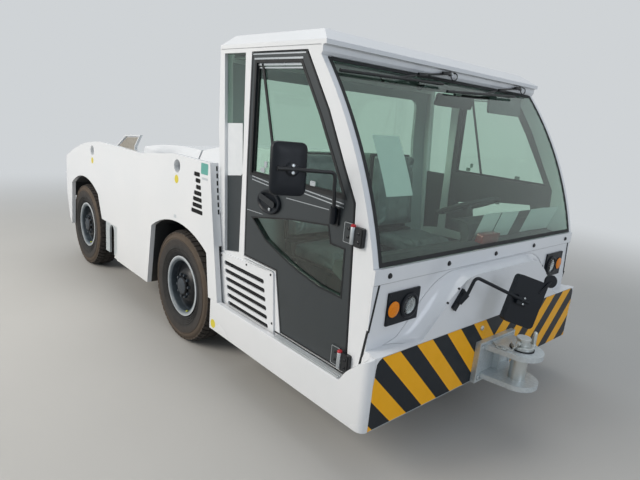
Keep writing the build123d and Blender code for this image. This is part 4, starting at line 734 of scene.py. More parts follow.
    # Serrated aluminium treads on the step's edge and on the sill
    tooth = [plate([Vector(point) / 1000 for point in ((-3, -5, 0), (3, -5, 0), (1.2, -5, 2.2), (-1.2, -5, 2.2))],
                   Vector((0, 0.010, 0)))]
    for label, front, rear, near, far, height in (("step", 816, 1108, 2, 13, 840), ("sill", 196, 724, 4, 56, 498.3)):
        low, high = at(rear, sign * (cab_half + near), height), at(front, sign * (cab_half + far), height)
        base = plate([Vector((x, y, low.z)) for x, y in ((low.x, low.y), (high.x, low.y), (high.x, high.y),
                                                         (low.x, high.y))], Vector((0, 0, 0.0045)))
        piece(f"{label}_tread_{side_name}", "body", form(base), tread_aluminium)
        for row, reach in enumerate((6,) if label == "step" else (7, 21, 35)):
            y = sign * (cab_half + near + reach)
            piece(f"{label}_teeth_{side_name}_{row}", "body",
                  grown(row_tree, tooth, tread_aluminium, Count=int((rear - front - 10) / 9),
                        First=at(rear - 6, y, height + 4.5), Last=at(front + 6, y, height + 4.5)), tread_aluminium)

    # Louvre: slats sloping down and out behind the slots, on a black backing sheet that is painted shade behind them
    outline = inset([(1372, 812), (1343, 464), (766, 460), (812, 840)], 34)
    piece(f"louvre_backing_{side_name}", "body", form(
        plate(profile_at(sign * (cab_half - 46), outline), out * 0.002)), chassis_paint)
    slat = [plate([Vector(point) / 1000 for point in ((-212, 0, 11), (212, 0, 11), (212, 0, 13), (-212, 0, 13))],
                  Vector((0, -0.034 * sign, 0.020)))]
    piece(f"louvre_slats_{side_name}", "body",
          grown(row_tree, slat, chassis_paint, Count=6, First=at(1107, sign * (cab_half - 3), 740),
                Last=at(1040, sign * (cab_half - 3), 490)), chassis_paint)
    spots = [(at(back, sign * (cab_half + 10), height), out) for back, height in
             ((1356, 796), (1335, 480), (1075, 812), (832, 822), (790, 545), (780, 474))]
    fixings(f"louvre_screws_{side_name}", "body", screw_head(7), spots, black_steel)

    # Painted shade: a flat black sheet behind the vents in the side plate and in its front return
    piece(f"vent_felt_{side_name}", "body", form(
        plate(profile_at(sign * (body_half - 3), ((1512, 1008), (1700, 1008), (1672, 1294), (1560, 1294))),
              -out * 0.002),
        strip([at(1408, sign * (body_half - 47), 1035), at(1462, sign * (body_half - 47), 1352)], 16,
              Vector((1, 0, -0.17)).normalized(), -2)), vent_shade_black)
    # Discs behind the round holes in the side plates
    piece(f"hole_discs_{side_name}", "body", form(*[
        lathe([(0, 0), (62, 0), (62, 3), (0, 3)], at(back + 9, sign * (body_half - 39), height), out, 40)
        for back, height in ((3625, 1199), (1901, 1287))]), window_trim)
    piece(f"lashing_tab_{side_name}", "body", form(
        plate(profile_at(sign * (body_half - 17), ((3022, 301), (3110, 301), (3022, 392))), out * 0.008)),
        white_enamel)

    # Head lamps on a black plate: a ring, a dimpled reflector and a domed cover, with the amber lamp beside them
    face = 75
    lamp, amber = [at(face, sign * reach, 857) for reach in (cab_half - 270, cab_half - 152)]
    made = piece(f"lamp_plate_{side_name}", "body", form(
        panel(at(face + 9, sign * (cab_half - 227.5), 858.5), *abreast, 235, 165, 3, 9)), moulded_plastic)
    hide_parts("head_lamps")
    made = piece(f"lamp_rings_{side_name}", "body", form(
        lathe([(44, 0), (63, 0), (65, 3), (63, 8), (56, 11), (49, 9), (45, 4), (44, 0)], lamp, ahead, 56),
        lathe([(40, 0), (44, 0), (44, 2.5), (42, 4), (40, 0)], amber, ahead, 40)), moulded_plastic)
    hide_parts("head_lamps")
    piece(f"lamp_reflector_{side_name}", "body", form(
        lathe([(0, 0.3), (45, 0.3), (45, 2.2), (30, 1.2), (0, 0.8)], lamp, ahead, 40)), reflector)
    piece(f"lamp_cover_{side_name}", "body", form(
        lathe([(0, 2.6), (44.5, 2.6), (44.5, 4), (36, 7.5), (20, 9.5), (0, 10)], lamp, ahead, 48)), clear_lens)
    piece(f"amber_cover_{side_name}", "body", form(
        lathe([(0, 0.3), (40, 0.3), (40, 4), (32, 7), (18, 9), (0, 10)], amber, ahead, 40)), amber_lens)
    low, high = cab_half - 345, cab_half - 110
    spots = [(at(face, sign * reach, height), ahead) for reach in (low + 11, high - 11) for height in (787, 930)]
    fixings(f"lamp_screws_{side_name}", "body", screw_head(4), spots, black_steel)

    # Tail lamps: red, amber and clear sections
    box_low, box_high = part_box("tail_lamps")
    middle = sign * box_high.y - sign * 0.130
    for label, reach, width, finish in (("red", -83, 86, red_lens), ("amber", 3, 82, amber_lens),
                                        ("clear", 84, 76, clear_lens)):
        centre = Vector((box_low.x, middle - sign * reach / 1000, (box_low.z + box_high.z) / 2))
        piece(f"tail_{label}_{side_name}", "body",
              form(panel(centre, (0, -1, 0), (0, 0, 1), width - 4, 96, 8, 5)), finish)

# Bumper plate with its cut edge bare, and the white corner pieces that round off its top
plate_low, plate_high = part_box("bumper_plate")
middle = (plate_low + plate_high) / 2
made = piece("bumper_sheet", "body", form(plate(
    [Vector((plate_low.x, u / 1000, middle.z + v / 1000))
     for u, v in rounded((plate_high.y - plate_low.y) * 1000, (plate_high.z - plate_low.z) * 1000, 9)],
    Vector((plate_high.x - plate_low.x - 0.0006, 0, 0)))), hazard_paint)
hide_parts("bumper_plate")
edge = plate_low.z * 1000 + 2
piece("bumper_bare_edge", "body", form(strip(
    [Vector((plate_high.x - 0.0006, reach / 1000, edge / 1000)) for reach in (-1046, 1046)], 3, ahead, 0.5)),
    grey_vinyl)
corner = [(1057.5, 676.5), (1010, 676.5), (1022, 671), (1038, 662), (1049, 648), (1053, 618), (1054, 580),
          (1057.5, 545)]
piece("shelf_lip", "body", form(
    plate(profile_at(-1056.5, ((-0.6, 673), (-0.6, 676), (0.6, 677.5), (44, 677.5), (44, 675.2), (0, 675.2))),
          Vector((0, 2.113, 0)))), white_enamel)
piece("bumper_corners", "body", form(*[
    plate([at(0.4, sign * reach, height) for reach, height in corner], Vector((0.002, 0, 0)))
    for side_name, sign in sides]), white_enamel)

# Sills: the plates that run forward from the wheel arch and turn round the bumper's corners, their tops swept up
rise = [(0, 675), (18, 665), (43, 650), (61, 637), (84, 616), (112, 590), (137, 565), (155, 541), (172, 512),
        (184, 499), (200, 498), (1388, 498)]


def sill_top(back):
    """The height of the sill's top edge."""
    for (near, low_end), (far, high_end) in zip(rise, rise[1:]):
        if back <= far:
            return low_end + (high_end - low_end) * (back - near) / (far - near)
    return rise[-1][1]


sill_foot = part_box("sills")[0].z * 1000
for side_name, sign in sides:
    stations = [((back, body_half), (back, body_half - 35))
                for back in (1388, 800, 200, 184, 172, 155, 137, 112, 84, 61, 43)]
    stations += [((43 - 43 * math.sin(turn), body_half - 43 + 43 * math.cos(turn)),
                  (43 - 8 * math.sin(turn), body_half - 43 + 8 * math.cos(turn)))
                 for turn in (math.radians(15 * k) for k in range(1, 7))]
    rings = []
    for (outer_back, outer), (inner_back, inner) in stations:
        top = sill_top(outer_back)
        rings.append([at(outer_back, sign * outer, sill_foot), at(outer_back, sign * outer, top - 3),
                      at(outer_back + (inner_back - outer_back) * 0.1, sign * (outer + (inner - outer) * 0.1), top),
                      at(inner_back, sign * inner, top), at(inner_back, sign * inner, sill_foot)])
    made = piece(f"sill_plate_{side_name}", "body", form(skin(rings)), white_enamel)
    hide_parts("sills")
    # The gusset that closes the fender's top to the cab and the shelf behind the bumper
    rings = [[point + Vector((0, sign * reach / 1000, -drop / 1000)) for reach, drop in
              ((cab_half - 4, 4), (body_half - 33, 1), (body_half - 33, 6), (cab_half - 4, 9))]
             for point in profile_at(0, rise[:-2])]
    cheek = [(1, 675), (85, 675.5), (97, 640), (116, 596), (112, 583), (84, 610), (61, 631), (18, 660), (1, 669)]
    piece(f"fender_gusset_{side_name}", "body", form(
        skin(rings), plate(profile_at(sign * (cab_half - 2), cheek), Vector((0, sign * 0.004, 0)))), white_enamel)

# Nose cover: a flat face that coves out smoothly to a wide foot on the fascia, given as half outlines
cover_face = [(793, 676), (752, 684), (712, 699), (633, 769), (553, 848), (472, 910), (415, 943), (338, 966),
              (180, 969)]
cover_foot = [(930, 676), (880, 685), (820, 706), (748, 774), (668, 860), (580, 930), (510, 962), (420, 983),
              (180, 986)]
face_line, foot_line = [eased([at(0, reach, height) for reach, height in table], 4)
                        for table in (cover_face, cover_foot)]
fascia, cove_rows = 85, 10
rows = []
for k in range(cove_rows + 1):
    turn = math.radians(90 * k / cove_rows)
    half = [a.lerp(b, 1 - math.cos(turn)) - Vector((fascia * math.sin(turn) / 1000, 0, 0))
            for a, b in zip(face_line, foot_line)]
    rows.append([Vector((point.x, -point.y, point.z)) for point in half] + half[::-1])
made = piece("cove_cover", "body", form(skin(rows)), white_enamel, smooth_deg=40)
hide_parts("nose_cover")

# Strip, cover and bumper fixings
# A thin black strip under the windscreen strip: a painted shadow line
piece("strip_shadow_gap", "body", form(
    strip([at(84.6, reach, 993) for reach in (-cab_half + 3, cab_half - 3)], 4, ahead, 0.6)), black_rubber)
spots = [(at(82, reach, 1028), (1, 0, 0)) for reach in (-936, -468, 0, 468, 936)]
fixings("strip_bolts", "body", hex_head(11, 8), spots, black_steel)
spots = [(at(2, sign * reach, height), (0.5, sign * 0.6, 0.6)) for side_name, sign in sides
         for reach, height in ((466, 914), (549, 851))]
fixings("cover_screws", "body", screw_head(7), spots, black_steel)
fixings("bumper_plug", "body", screw_head(15), [(at(0, -160, 628), (1, 0, 0))], plated_steel)

# Blank stickers on the right, and a hatch mark
right = Vector((0, -1, 0))
piece("round_stickers", "body", form(*[
    lathe([(0, 0), (29, 0), (29, 0.7), (0, 0.7)], at(back, -body_half, height), right, 28)
    for back, height in ((3626, 1107), (1905, 1197), (1345, 342))]), yellow_vinyl)
piece("teal_sticker", "body", form(
    panel(at(1524, -body_half, 1318), *along, 88, 70, 6, 0.7)), teal_vinyl)
piece("grey_stickers", "body", form(
    panel(at(1515, -body_half, 1256), *along, 70, 14, 3, 0.7),
    panel(at(1915, -body_half, 935), *along, 36, 22, 3, 0.7)), grey_vinyl)

# Front hitch: bolts on the base, black rings under the tongue and the collar, the pin with its latch, its chain
spots = [(at(-22, reach, height), (1, 0, 0)) for reach in (-165, 165) for height in (334, 520)]
fixings("hitch_bolts", "body", hex_head(13, 11), spots, galvanised)
pin = at(-176, 0, 0)
piece("pin_rings", "body", form(*[
    lathe([(49, base), (width, base), (width, base + tall), (49, base + tall), (49, base)], pin, (0, 0, 1), 40)
    for base, tall, width in ((496, 8, 62), (535.5, 5, 68))]), black_rubber)
made = piece("pin_stack", "body", form(
    lathe([(0, 317), (44, 317), (47, 320), (47, 540), (62, 540.6), (62, 558), (59, 561), (36, 561), (34, 563),
           (34, 589), (41, 590), (41, 602), (38, 605), (0, 605)], pin, (0, 0, 1), 48),
    lathe([(0, -66), (9, -66), (11, -64), (11, 64), (9, 66), (0, 66)], at(-176, 0, 577), (0, 1, 0), 20),
    lathe([(0, 535.2), (17, 535.2), (17, 546), (13, 549), (13, 612), (11, 620), (7, 624), (0, 625)],
          at(-196, 92, 0), (0, 0, 1), 24)), plated_steel)
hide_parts("hitch_pin")
link = [tube([Vector((5 * math.cos(turn), 0, 9 * math.sin(turn))) / 1000
              for turn in (2 * math.pi * k / 14 for k in range(15))], 1.9, 6)]
knots = [at(-176, -64, 588), at(-171, -80, 562), at(-160, -92, 541), at(-140, -100, 538.5), at(-118, -86, 538.5),
         at(-98, -98, 538.5), at(-84, -116, 538.5), at(-98, -126, 539), at(-126, -120, 543), at(-140, -106, 547),
         at(-122, -98, 547), at(-100, -108, 546), at(-72, -104, 539), at(-50, -88, 538.5), at(-34, -70, 538.5)]
path = eased(knots)
route_mesh = bpy.data.meshes.new("route")
route_mesh.from_pydata(path, [(k, k + 1) for k in range(len(path) - 1)], [])
piece("pin_chain", "body", grown(chain_tree, link, plated_steel, route_mesh, Pitch=0.0135), plated_steel)

# Mirrors: the silvered faces that the driver sees
def mirror_axes(across, facing):
    """A mirror's square directions: across its face, the way it faces, and up."""
    across, facing = Vector(across), Vector(facing).normalized()
    across = (across - facing * across.dot(facing)).normalized()
    return across, facing, facing.cross(across)


across, facing, up = mirror_axes((0.27, 0.96, -0.02), (-0.95, 0.28, -0.10))
head = at(436, -(cab_half + 259), 1471)


def mirror_ring(width, tall, corner, lift):
    """An outline of the door mirror's shell at one depth."""
    return [head + (across * u + up * v + facing * lift) / 1000 for u, v in rounded(width, tall, corner)]


rows = [mirror_ring(164, 228, 24, 0), mirror_ring(172, 236, 28, -3), mirror_ring(172, 236, 28, -12),
        mirror_ring(164, 228, 26, -20), mirror_ring(140, 200, 24, -27), mirror_ring(90, 140, 20, -31)]
clamp = head - facing * 0.040 + across * 0.012
arm = eased([at(364, -cab_half - 20, 1262), at(354, -cab_half - 32, 1300), at(347, -cab_half - 48, 1380),
             at(345, -cab_half - 55, 1446), at(350, -cab_half - 72, 1466), at(368, -cab_half - 130, 1468), clamp,
             clamp - across * 0.075], 5)
for label, shape, finish in (
        ("door_mirror_shell", skin(rows), moulded_plastic),
        ("door_mirror_clamp", lathe([(0, 0), (32, 0), (32, 8), (24, 15), (0, 17)],
                                    head - facing * 0.028 + across * 0.010, -facing, 32), moulded_plastic),
        ("door_mirror_arm", tube(arm, 9, 14), black_steel),
        ("door_mirror_sleeve", tube([at(370, -cab_half - 16, 1222), at(366, -cab_half - 20, 1246),
                                     at(357, -cab_half - 29, 1296), at(355, -cab_half - 31, 1304)], 16, 16),
         moulded_plastic),
        ("door_mirror_foot", panel(at(370, -cab_half, 1255), *along, 60, 84, 8, 12), black_steel)):
    made = piece(label, "door_right", form(shape), finish)
    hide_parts("door_mirror")
piece("door_mirror_face", "door_right", form(panel(head + facing * 0.0002, across, up, 150, 214, 18, 1)),
      mirror_glass)
spots = [(head - facing * 0.044 + across * 0.008 + up * lift, -facing) for lift in (-0.016, 0.016)]
fixings("door_mirror_screws", "door_right", screw_head(9), spots, bright_steel)
across, facing, up = mirror_axes((0.54, 0.79, -0.29), (-0.84, 0.52, -0.15))
head, small = at(-212, -147, 856), at(-268, -22, 968)
piece("front_mirror_faces", "body", form(
    panel(head + facing * 0.045, across, up, 164, 242, 20, 2),
    lathe([(0, 0), (31, 0), (31, 1), (0, 2)], small + facing * 0.014, facing, 36)), mirror_glass)
spots = [(head - facing * 0.022 - across * 0.030 + up * lift, -facing) for lift in (-0.016, 0.016)]
fixings("front_mirror_screws", "body", screw_head(6), spots, bright_steel)

# Roof: an aerial's blank foot
piece("aerial_foot", "body", form(
    lathe([(0, 0), (34, 0), (33, 5), (26, 9), (12, 11), (10, 20), (0, 21)], at(745, -862, 2121.5), (0, 0, 1), 32)),
    white_enamel)

# Inside the cab: a lining under the roof with its console, lamp, loudspeaker, mirror and sun visor
lining = [(600, 1962), (640, 1930), (700, 1950), (1425, 1990), (1425, 2004), (640, 2004), (600, 1990)]
piece("roof_lining", "body", form(
    plate(profile_at(60 - cab_half, lining), Vector((0, 2 * (cab_half - 60) / 1000, 0)))), roof_lining)
piece("cab_mirror", "body", form(
    panel(at(628, 172, 1868), (0, 1, 0), (0.2, 0, 1), 392, 74, 16, -20),
    tube([at(650, 172, 1935), at(645, 172, 1910), at(640, 172, 1880)], 8, 12)), moulded_plastic)
piece("cab_mirror_face", "body", form(
    panel(at(649, 172, 1865), (0, 1, 0), (0.2, 0, 1), 376, 60, 12, -1.5)), mirror_glass)
piece("sun_visor", "body", form(
    panel(at(612, 760, 1893), (0, 1, 0), (-0.1, 0, 1), 440, 128, 18, -14),
    tube([at(618, 560, 1950), at(620, 960, 1950)], 7, 10)), roof_lining)
piece("cab_lamp", "body", form(
    panel(at(618, -510, 1926), (0, 1, 0), (-0.6, 0, 1), 118, 34, 8, 12)), clear_lens)
piece("loudspeaker", "body", form(
    lathe([(0, 1), (8, 3), (20, 0.5), (24, 3), (28, 4), (29, 0), (0, 0)], at(617, -216, 1930), (0.8, 0, -0.4), 28)),
    moulded_plastic)
# Sheets that lean behind the windscreen, and a dark red lamp box on the dash
piece("dash_papers", "body", form(*[
    panel(at(232 - lean, side, 1150), (lean / 200, 1, 0.02 * turn), (0.32, 0, 1), 200, 176, 2, 0.5)
    for side, lean, turn in ((110, 0, 1), (318, 6, -1), (690, 2, 1), (880, 8, 0))]), sheet_paper)
piece("dash_lamp_box", "body", form(
    panel(at(214, 72, 1092), (0, 1, 0), (0.1, 0, 1), 196, 58, 12, 42)), red_lens)
# The dash's raised cowl, behind the sheets
piece("dash_cowl", "body", form(
    plate(profile_at(-40, ((262, 1046), (256, 1120), (276, 1160), (330, 1176), (392, 1170), (396, 1160), (330, 1160),
                           (300, 1046))), Vector((0, 1.0, 0)))), dash_plastic)
# Dash: blank gauges in the binnacle, and air vents
dial_out = Vector((-0.94, 0, 0.34)).normalized()
dials = [at(418, 400 + reach, 1080) for reach in (-96, 0, 96)]
piece("gauge_bezels", "body", form(*[
    lathe([(31, 0), (38, 0), (38, 7), (35, 9), (31, 4), (31, 0)], spot, dial_out, 32) for spot in dials]),
    moulded_plastic)
piece("gauge_faces", "body", form(*[
    lathe([(0, 0.5), (31, 0.5), (31, 2), (0, 2)], spot, dial_out, 32) for spot in dials]), sheet_paper)
rib = [panel(origin, (0, 1, 0), (1, 0, 0), 150, 4, 1.8, 7)]
for side in (-780, -480, -180, 700):
    piece(f"dash_vent_{-side if side < 0 else side}_{'r' if side < 0 else 'l'}", "body",
          grown(row_tree, rib, moulded_plastic, Count=6, First=at(132, side, 1052), Last=at(182, side, 1056)),
          moulded_plastic)

# Seats: a moulded base and back shell under sewn pads, which a cloth simulation fills out
seat_side, seat_width = 400, 480
cloth_frames, most_swell = 20, 0.014
seam_places, seam_width, seam_depth = (-0.56, 0.56), 0.006, 0.007


def crowned(name, outline, side, width, hold):
    """A pad between two outlines seen from the side: swollen by pressure where it isn't held, then sewn."""
    block = bpy.data.objects.new("block", form(plate(profile_at(side - width / 2, outline),
                                                     Vector((0, width / 1000, 0)))))
    bpy.context.scene.collection.objects.link(block)
    soft = block.modifiers.new("soft", "BEVEL")
    soft.width, soft.segments = 0.022, 4
    even = block.modifiers.new("even", "REMESH")
    even.mode, even.voxel_size = "VOXEL", 0.009
    mesh = bpy.data.meshes.new_from_object(block.evaluated_get(bpy.context.evaluated_depsgraph_get()))
    bpy.data.objects.remove(block)
    rest = [vertex.co.copy() for vertex in mesh.vertices]
    cushion = bpy.data.objects.new("cushion", mesh)
    bpy.context.scene.collection.objects.link(cushion)
    held = cushion.vertex_groups.new(name="held")
    held.add([k for k, point in enumerate(rest) if hold(point)], 1.0, "REPLACE")
    cloth = cushion.modifiers.new("cloth", "CLOTH")
    cloth.settings.vertex_group_mass = "held"
    cloth.settings.use_pressure = True
    cloth.settings.uniform_pressure_force = 4
    cloth.settings.effector_weights.gravity = 0
    for frame_number in range(1, cloth_frames + 1):
        bpy.context.scene.frame_set(frame_number)
    swollen = bpy.data.meshes.new_from_object(cushion.evaluated_get(bpy.context.evaluated_depsgraph_get()))
    bpy.data.objects.remove(cushion)
    bpy.context.scene.frame_set(1)
    for vertex, start in zip(swollen.vertices, rest):
        moved = vertex.co - start
        vertex.co = start + moved * min(1.0, most_swell / max(moved.length, 1e-6))
    mesh = swollen
    # Two sewn channels along the pad
    middle, half = side / 1000, width / 2000
    normals = [vertex.normal.copy() for vertex in mesh.vertices]
    for vertex, normal in zip(mesh.vertices, normals):
        sunk = sum(math.exp(-((vertex.co.y - middle - seam * half) / seam_width) ** 2) for seam in seam_places)
        vertex.co -= normal * seam_depth * min(1.0, sunk)
    made = piece(name, "body", mesh, seat_cloth, smooth_deg=60)
    finer = made.modifiers.new("finer", "SUBSURF")
    finer.levels = finer.render_levels = 1
    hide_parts("seats")
    return made


for side_name, side in (("right", -seat_side), ("left", seat_side)):
    crowned(f"seat_cushion_{side_name}", [(768, 792), (764, 868), (800, 884), (1146, 886), (1168, 800)], side,
            seat_width - 34, lambda point: point.z < 0.812 or point.x < bumper_face - 1.140)
    crowned(f"seat_back_{side_name}", [(1166, 912), (1226, 1452), (1292, 1452), (1280, 1200), (1246, 912)], side,
            seat_width - 40, lambda point: point.x < bumper_face - 1.225 - (point.z - 0.912) * 0.08)
    shell = piece(f"seat_shell_{side_name}", "body", form(*[
        plate(profile_at(side - half, table), Vector((0, half * 2 / 1000, 0))) for half, table in (
            (205, ((842, 500.5), (842, 752), (1142, 752), (1142, 500.5))),
            (228, ((770, 762), (766, 788), (1160, 796), (1196, 880), (1252, 884), (1244, 800), (1150, 762))),
            (222, ((1252, 884), (1286, 1200), (1298, 1462), (1318, 1462), (1306, 1200), (1270, 884))))]),
        moulded_plastic)
    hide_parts("seats")

# Deck: the CAD's own sheet without its box, and the intake panel as the folded plate that the photograph shows
deck_shell = bmesh.new()
deck_shell.from_mesh(nodes["rear_deck"].data)
bmesh.ops.remove_doubles(deck_shell, verts=deck_shell.verts, dist=1e-5)
deck_level = 1.0405
bmesh.ops.delete(deck_shell, geom=[vertex for vertex in deck_shell.verts if vertex.co.z > deck_level],
                 context="VERTS")
bmesh.ops.holes_fill(deck_shell, edges=deck_shell.edges)
bmesh.ops.recalc_face_normals(deck_shell, faces=deck_shell.faces)
deck_mesh = bpy.data.meshes.new("deck")
deck_shell.to_mesh(deck_mesh)
deck_shell.free()
made = piece("deck_sheet", "body", deck_mesh, white_enamel)
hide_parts("rear_deck")
intake = [(3573, 1040), (3573, 1252), (3543, 1266), (3319, 1378), (2998, 1402), (3110, 1296), (3110, 1040)]
made = piece("intake_panel", "body", form(
    plate(profile_at(-893, intake), Vector((0, 0.010, 0))),
    strip(profile_at(-893, inset(intake, 6)), 12, Vector((0, -1, 0)), 12, True)), white_enamel)
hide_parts("rear_deck")
piece("intake_mesh", "body", form(
    plate(profile_at(-893.5, inset(intake, 22)), Vector((0, -0.002, 0)))), intake_gauze)

# Deck and hood: screws along the deck's edges, a latch on the hood, slats on the cowl's flanks
spots = [(at(back, sign * 1030, 1040), (0, 0, 1)) for side_name, sign in sides for back in range(1560, 4380, 235)]
fixings("deck_screws", "body", screw_head(8), spots, bright_steel)
hood_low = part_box("engine_hood")[0]
latch = Vector((hood_low.x + 0.012, 0, 1.150))
piece("hood_latch", "hood", form(
    lathe([(0, 0), (26, 0), (26, 6), (20, 9), (0, 9)], latch, (-1, 0, 0.1), 28),
    panel(latch + Vector((-0.010, 0, 0)), *abreast, 74, 18, 7, -7)), black_steel)
bar = [panel(origin, *along, 380, 7, 2, 7)]
for side_name, sign in sides:
    piece(f"cowl_slats_{side_name}", "body",
          grown(row_tree, bar, chassis_paint, Count=7, First=at(1860, sign * 590 + 3.5, 1090),
                Last=at(1860, sign * 590 + 3.5, 1186)), chassis_paint)

# Wheels: a pressed disc with its nuts and cap in a silver rim, in the tyre's bead seat. The disc's near-black tones,
# and the ring that grades up to silver at the flange, are painted shade inside the dished wheel
rim_bands_with_shade = by_reach("pressed_wheel_painted_shade", [(0.0, "#0E1318"), (0.060, "#0B0F13"), (0.156, "#121A21"),
                                               (0.183, "#4C565D"), (0.200, "#8A9297"), (0.214, "#C3C8CB")],
                     0.40, 60, 0.03, **{"Specular IOR Level": 0.35})
wheels = [(axle, side_name, sign) for axle in ("front", "rear") for side_name, sign in sides]
for axle, side_name, out in wheels:
    node_name = f"rim_{axle}_{side_name}"
    wheel = f"wheel_{axle}_{side_name}"
    low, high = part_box(node_name)
    middle = Vector(((low.x + high.x) / 2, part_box(f"tyre_{axle}_{side_name}")[0].y / 2
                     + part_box(f"tyre_{axle}_{side_name}")[1].y / 2, (low.z + high.z) / 2))
    section = [(56, 91), (57, 96), (62, 94), (66, 88), (67, 75), (96, 74.5), (106, 71), (121, 61), (136, 47),
               (152, 38.5), (168, 34), (180, 33), (184, 40), (185, 76), (188, 84), (196, 88), (200, 93),
               (208, 96), (216, 97), (221.5, 95), (222, 90), (219, 86), (210, 84), (200, 80), (190, 70),
               (190, -70), (200, -80), (222, -87), (222, -94), (182, -86), (182, 14), (152, 20), (112, 40),
               (100, 30), (56, 30)]
    disc = turned([(radius / 1000, reach / 1000) for radius, reach in section], middle, (0, out, 0), 96)
    rim = piece(f"pressed_{node_name}", wheel, disc, rim_bands_with_shade, smooth_deg=28)
    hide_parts(node_name)
    cap = piece(f"hub_cap_{axle}_{side_name}", wheel, form(
        lathe([(0, 92.5), (58, 92.5), (58, 96), (52, 99), (30, 100.5), (12, 103), (0, 103)], middle,
              (0, out, 0), 40)), rim_dark)
    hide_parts(node_name)
    nut = [lathe([(0, 74), (11, 74), (11, 86), (9, 90), (0, 90)], Vector((0, 0, 0.084)), (0, out, 0), 6)]
    piece(f"wheel_nuts_{axle}_{side_name}", wheel,
          grown(axle_tree, nut, rim_dark, Count=10, Centre=middle, Start=0.2), rim_dark)
    valve = middle + Vector((0.089, 0, -0.165))
    piece(f"valve_{axle}_{side_name}", wheel, form(
        lathe([(0, 40), (4, 40), (4, 84), (0, 84)], valve, (0, out, 0), 12)), black_rubber)
    piece(f"valve_cap_{axle}_{side_name}", wheel, form(
        lathe([(0, 84), (6, 84), (6, 97), (4, 99), (0, 99)], valve, (0, out, 0), 14)), valve_cap_plastic)

# Tyres: a lathed carcass with moulded ribs on its walls
for axle, side_name, _ in wheels:
    node_name = f"tyre_{axle}_{side_name}"
    low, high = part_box(node_name)
    middle = (low + high) / 2
    outer = (high.z - low.z) / 2
    half = (high.y - low.y) / 2
    rim_low, rim_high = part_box(f"rim_{axle}_{side_name}")
    bead = (rim_high.z - rim_low.z) / 2 - 0.012
    groove = 0.010
    tread = outer - groove
    # One wall from the bead out to the shoulder: (radius, distance in from the widest point)
    wall = [(bead - 0.004, 0.052), (bead + 0.006, 0.036), (bead + 0.012, 0.030), (bead + 0.022, 0.024)]
    for k in range(4):
        rib = bead + 0.030 + k * 0.013
        lean = 0.018 - k * 0.0045
        wall += [(rib, lean), (rib + 0.002, lean - 0.0028), (rib + 0.005, lean - 0.0028), (rib + 0.007, lean)]
    wall += [(outer - 0.085, 0.0015), (outer - 0.075, 0.0), (outer - 0.066, 0.0006), (outer - 0.064, 0.004),
             (outer - 0.056, 0.005), (outer - 0.054, 0.002), (outer - 0.046, 0.0035), (outer - 0.036, 0.008),
             (outer - 0.034, 0.011), (outer - 0.026, 0.015), (outer - 0.018, 0.022), (tread - 0.002, 0.032),
             (tread, 0.040)]
    section = [(radius, half - inset) for radius, inset in wall]
    section += [(radius, inset - half) for radius, inset in reversed(wall)]
    section += [(bead - 0.010, -half + 0.060), (bead - 0.010, half - 0.060)]
    tyre = piece(f"moulded_{node_name}", f"wheel_{axle}_{side_name}",
                 turned(section, middle, (0, 1, 0), 96), tyre_rubber, smooth_deg=50)
    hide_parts(node_name)

# Tread: shoulder lugs and a centre rib of blocks on each tyre
for axle, side_name, _ in wheels:
    low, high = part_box(f"tyre_{axle}_{side_name}")
    middle, outer = (low + high) / 2, (high.z - low.z) / 2
    lugs = []
    for near, far, lean, half in ((-0.100, -0.034, 0.012, 0.0185), (-0.026, 0.026, -0.008, 0.0195),
                                  (0.034, 0.100, -0.012, 0.0185)):
        edge = 0.012 if abs(near) > 0.05 or abs(far) > 0.05 else 0.0
        drop_near, drop_far = (edge if near < -0.05 else 0.0), (edge if far > 0.05 else 0.0)
        near_top, far_top, middle_top = outer - 0.0015 - drop_near, outer - 0.0015 - drop_far, outer - 0.0004
        top = [Vector((-half - lean, near, near_top)), Vector((half - lean, near, near_top)),
               Vector((half, (near + far) / 2, middle_top)), Vector((half + lean, far, far_top)),
               Vector((-half + lean, far, far_top)), Vector((-half, (near + far) / 2, middle_top))]
        foot = [Vector((point.x * 1.04, point.y, outer - 0.024)) for point in top]
        faces = [[0, 1, 2, 3, 4, 5][::-1]] + [[k, (k + 1) % 6, 6 + (k + 1) % 6, 6 + k] for k in range(6)]
        faces[0] = [5, 2, 1, 0]
        faces.insert(1, [5, 4, 3, 2])
        lugs.append((top + foot, faces + [[6, 7, 8, 9, 10, 11]]))
    mesh = grown(axle_tree, lugs, tyre_rubber, Count=54, Centre=middle, Start=0.0)
    reach = mesh.attributes.new("reach", "FLOAT", "POINT")
    for index, vertex in enumerate(mesh.vertices):
        reach.data[index].value = math.hypot(vertex.co.x - middle.x, vertex.co.z - middle.z)
    tread = piece(f"tread_{axle}_{side_name}", f"wheel_{axle}_{side_name}", mesh, tyre_rubber, smooth_deg=20)
    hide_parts(f"tyre_{axle}_{side_name}")


def sees_backdrop(tree):
    """1 for rays that show the backdrop, straight, through glass or in a gloss, and 0 for the light it gives."""
    path = add(tree, "ShaderNodeLightPath")
    seen = add(tree, "ShaderNodeMath", {0: path.outputs["Is Camera Ray"], 1: path.outputs["Is Transmission Ray"]},
               operation="MAXIMUM").outputs[0]
    return add(tree, "ShaderNodeMath", {0: seen, 1: path.outputs["Is Glossy Ray"]}, operation="MAXIMUM").outputs[0]


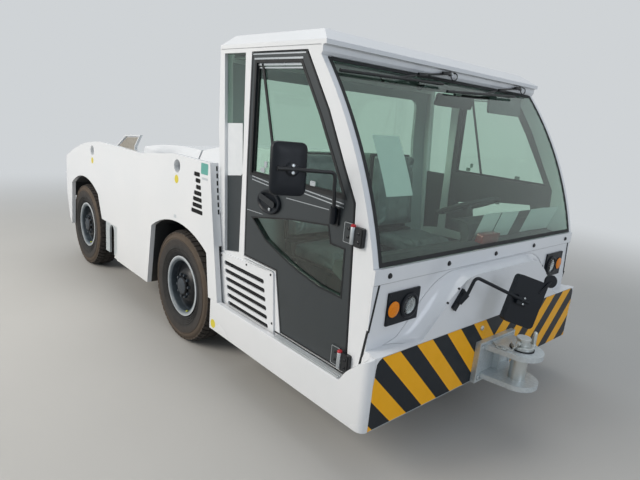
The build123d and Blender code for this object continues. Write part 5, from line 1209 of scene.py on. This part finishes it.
# Studio: a pale painted floor that runs out to the backdrop's own tone
floor_paint, tree = blank_material("pale_studio_floor")
coords = add(tree, "ShaderNodeTexCoord").outputs["Object"]
patches = add(tree, "ShaderNodeTexNoise", {"Vector": coords, "Scale": 1000 / 900, "Detail": 4.0}).outputs["Fac"]
tone = add(tree, "ShaderNodeMix", {0: patches, 6: linear("#BFBDB8"), 7: linear("#B8B6B1")},
           data_type="RGBA").outputs[2]
painted = add(tree, "ShaderNodeBsdfPrincipled", {"Base Color": tone, "Roughness": 0.75})
distant = add(tree, "ShaderNodeVectorMath", {0: coords}, operation="LENGTH").outputs["Value"]
fade = add(tree, "ShaderNodeMapRange", {"Value": distant, 1: 3.4, 2: 8.5, 3: 0.0, 4: 1.0},
           interpolation_type="SMOOTHSTEP").outputs[0]
share = add(tree, "ShaderNodeMath", {0: sees_backdrop(tree), 1: fade}, operation="MULTIPLY").outputs[0]
backdrop = add(tree, "ShaderNodeEmission", {"Color": linear("#D9DDE0"), "Strength": 0.9})
mixed = add(tree, "ShaderNodeMixShader", {0: share, 1: painted.outputs[0], 2: backdrop.outputs[0]})
add(tree, "ShaderNodeOutputMaterial", {"Surface": mixed.outputs[0]})
floor_mesh = bpy.data.meshes.new("floor")
floor_mesh.from_pydata([(-60, -60, 0), (60, -60, 0), (60, 60, 0), (-60, 60, 0)], [], [(0, 1, 2, 3)])
floor = bpy.data.objects.new("floor", floor_mesh)
bpy.context.scene.collection.objects.link(floor)
floor_mesh.materials.append(floor_paint)

world = bpy.data.worlds.new("studio")
bpy.context.scene.world = world
world.use_nodes = True
sky = world.node_tree
sky.nodes.clear()
ambient = add(sky, "ShaderNodeBackground", {"Color": linear("#DDE6F0"), "Strength": 0.55})
backdrop = add(sky, "ShaderNodeBackground", {"Color": linear("#D9DDE0"), "Strength": 0.9})
mixed = add(sky, "ShaderNodeMixShader", {0: sees_backdrop(sky), 1: ambient.outputs[0], 2: backdrop.outputs[0]})
add(sky, "ShaderNodeOutputWorld", {"Surface": mixed.outputs[0]})

# name, place, aimed at, width, power in watts, colour
for name, place, aim, width, power, colour in [
    ("key_softbox", (-2.0, -8.2, 5.2), (0, 0, 0.8), 5.0, 565, "#FFF8EF"),
    ("top_softbox", (-1.0, 0.5, 8.0), (0, 0, 0), 7.0, 150, "#FFFFFF"),
    ("front_softbox", (9.0, -1.0, 4.0), (0, 0, 0.8), 4.0, 95, "#EAF1FF"),
]:
    lamp = bpy.data.lights.new(name, "AREA")
    lamp.shape = "DISK"
    lamp.size = width
    lamp.energy = power
    lamp.color = linear(colour)[:3]
    holder = bpy.data.objects.new(name, lamp)
    bpy.context.scene.collection.objects.link(holder)
    holder.location = place
    holder.rotation_euler = (Vector(aim) - Vector(place)).to_track_quat("-Z", "Y").to_euler()

bpy.context.scene.view_settings.view_transform = "Standard"
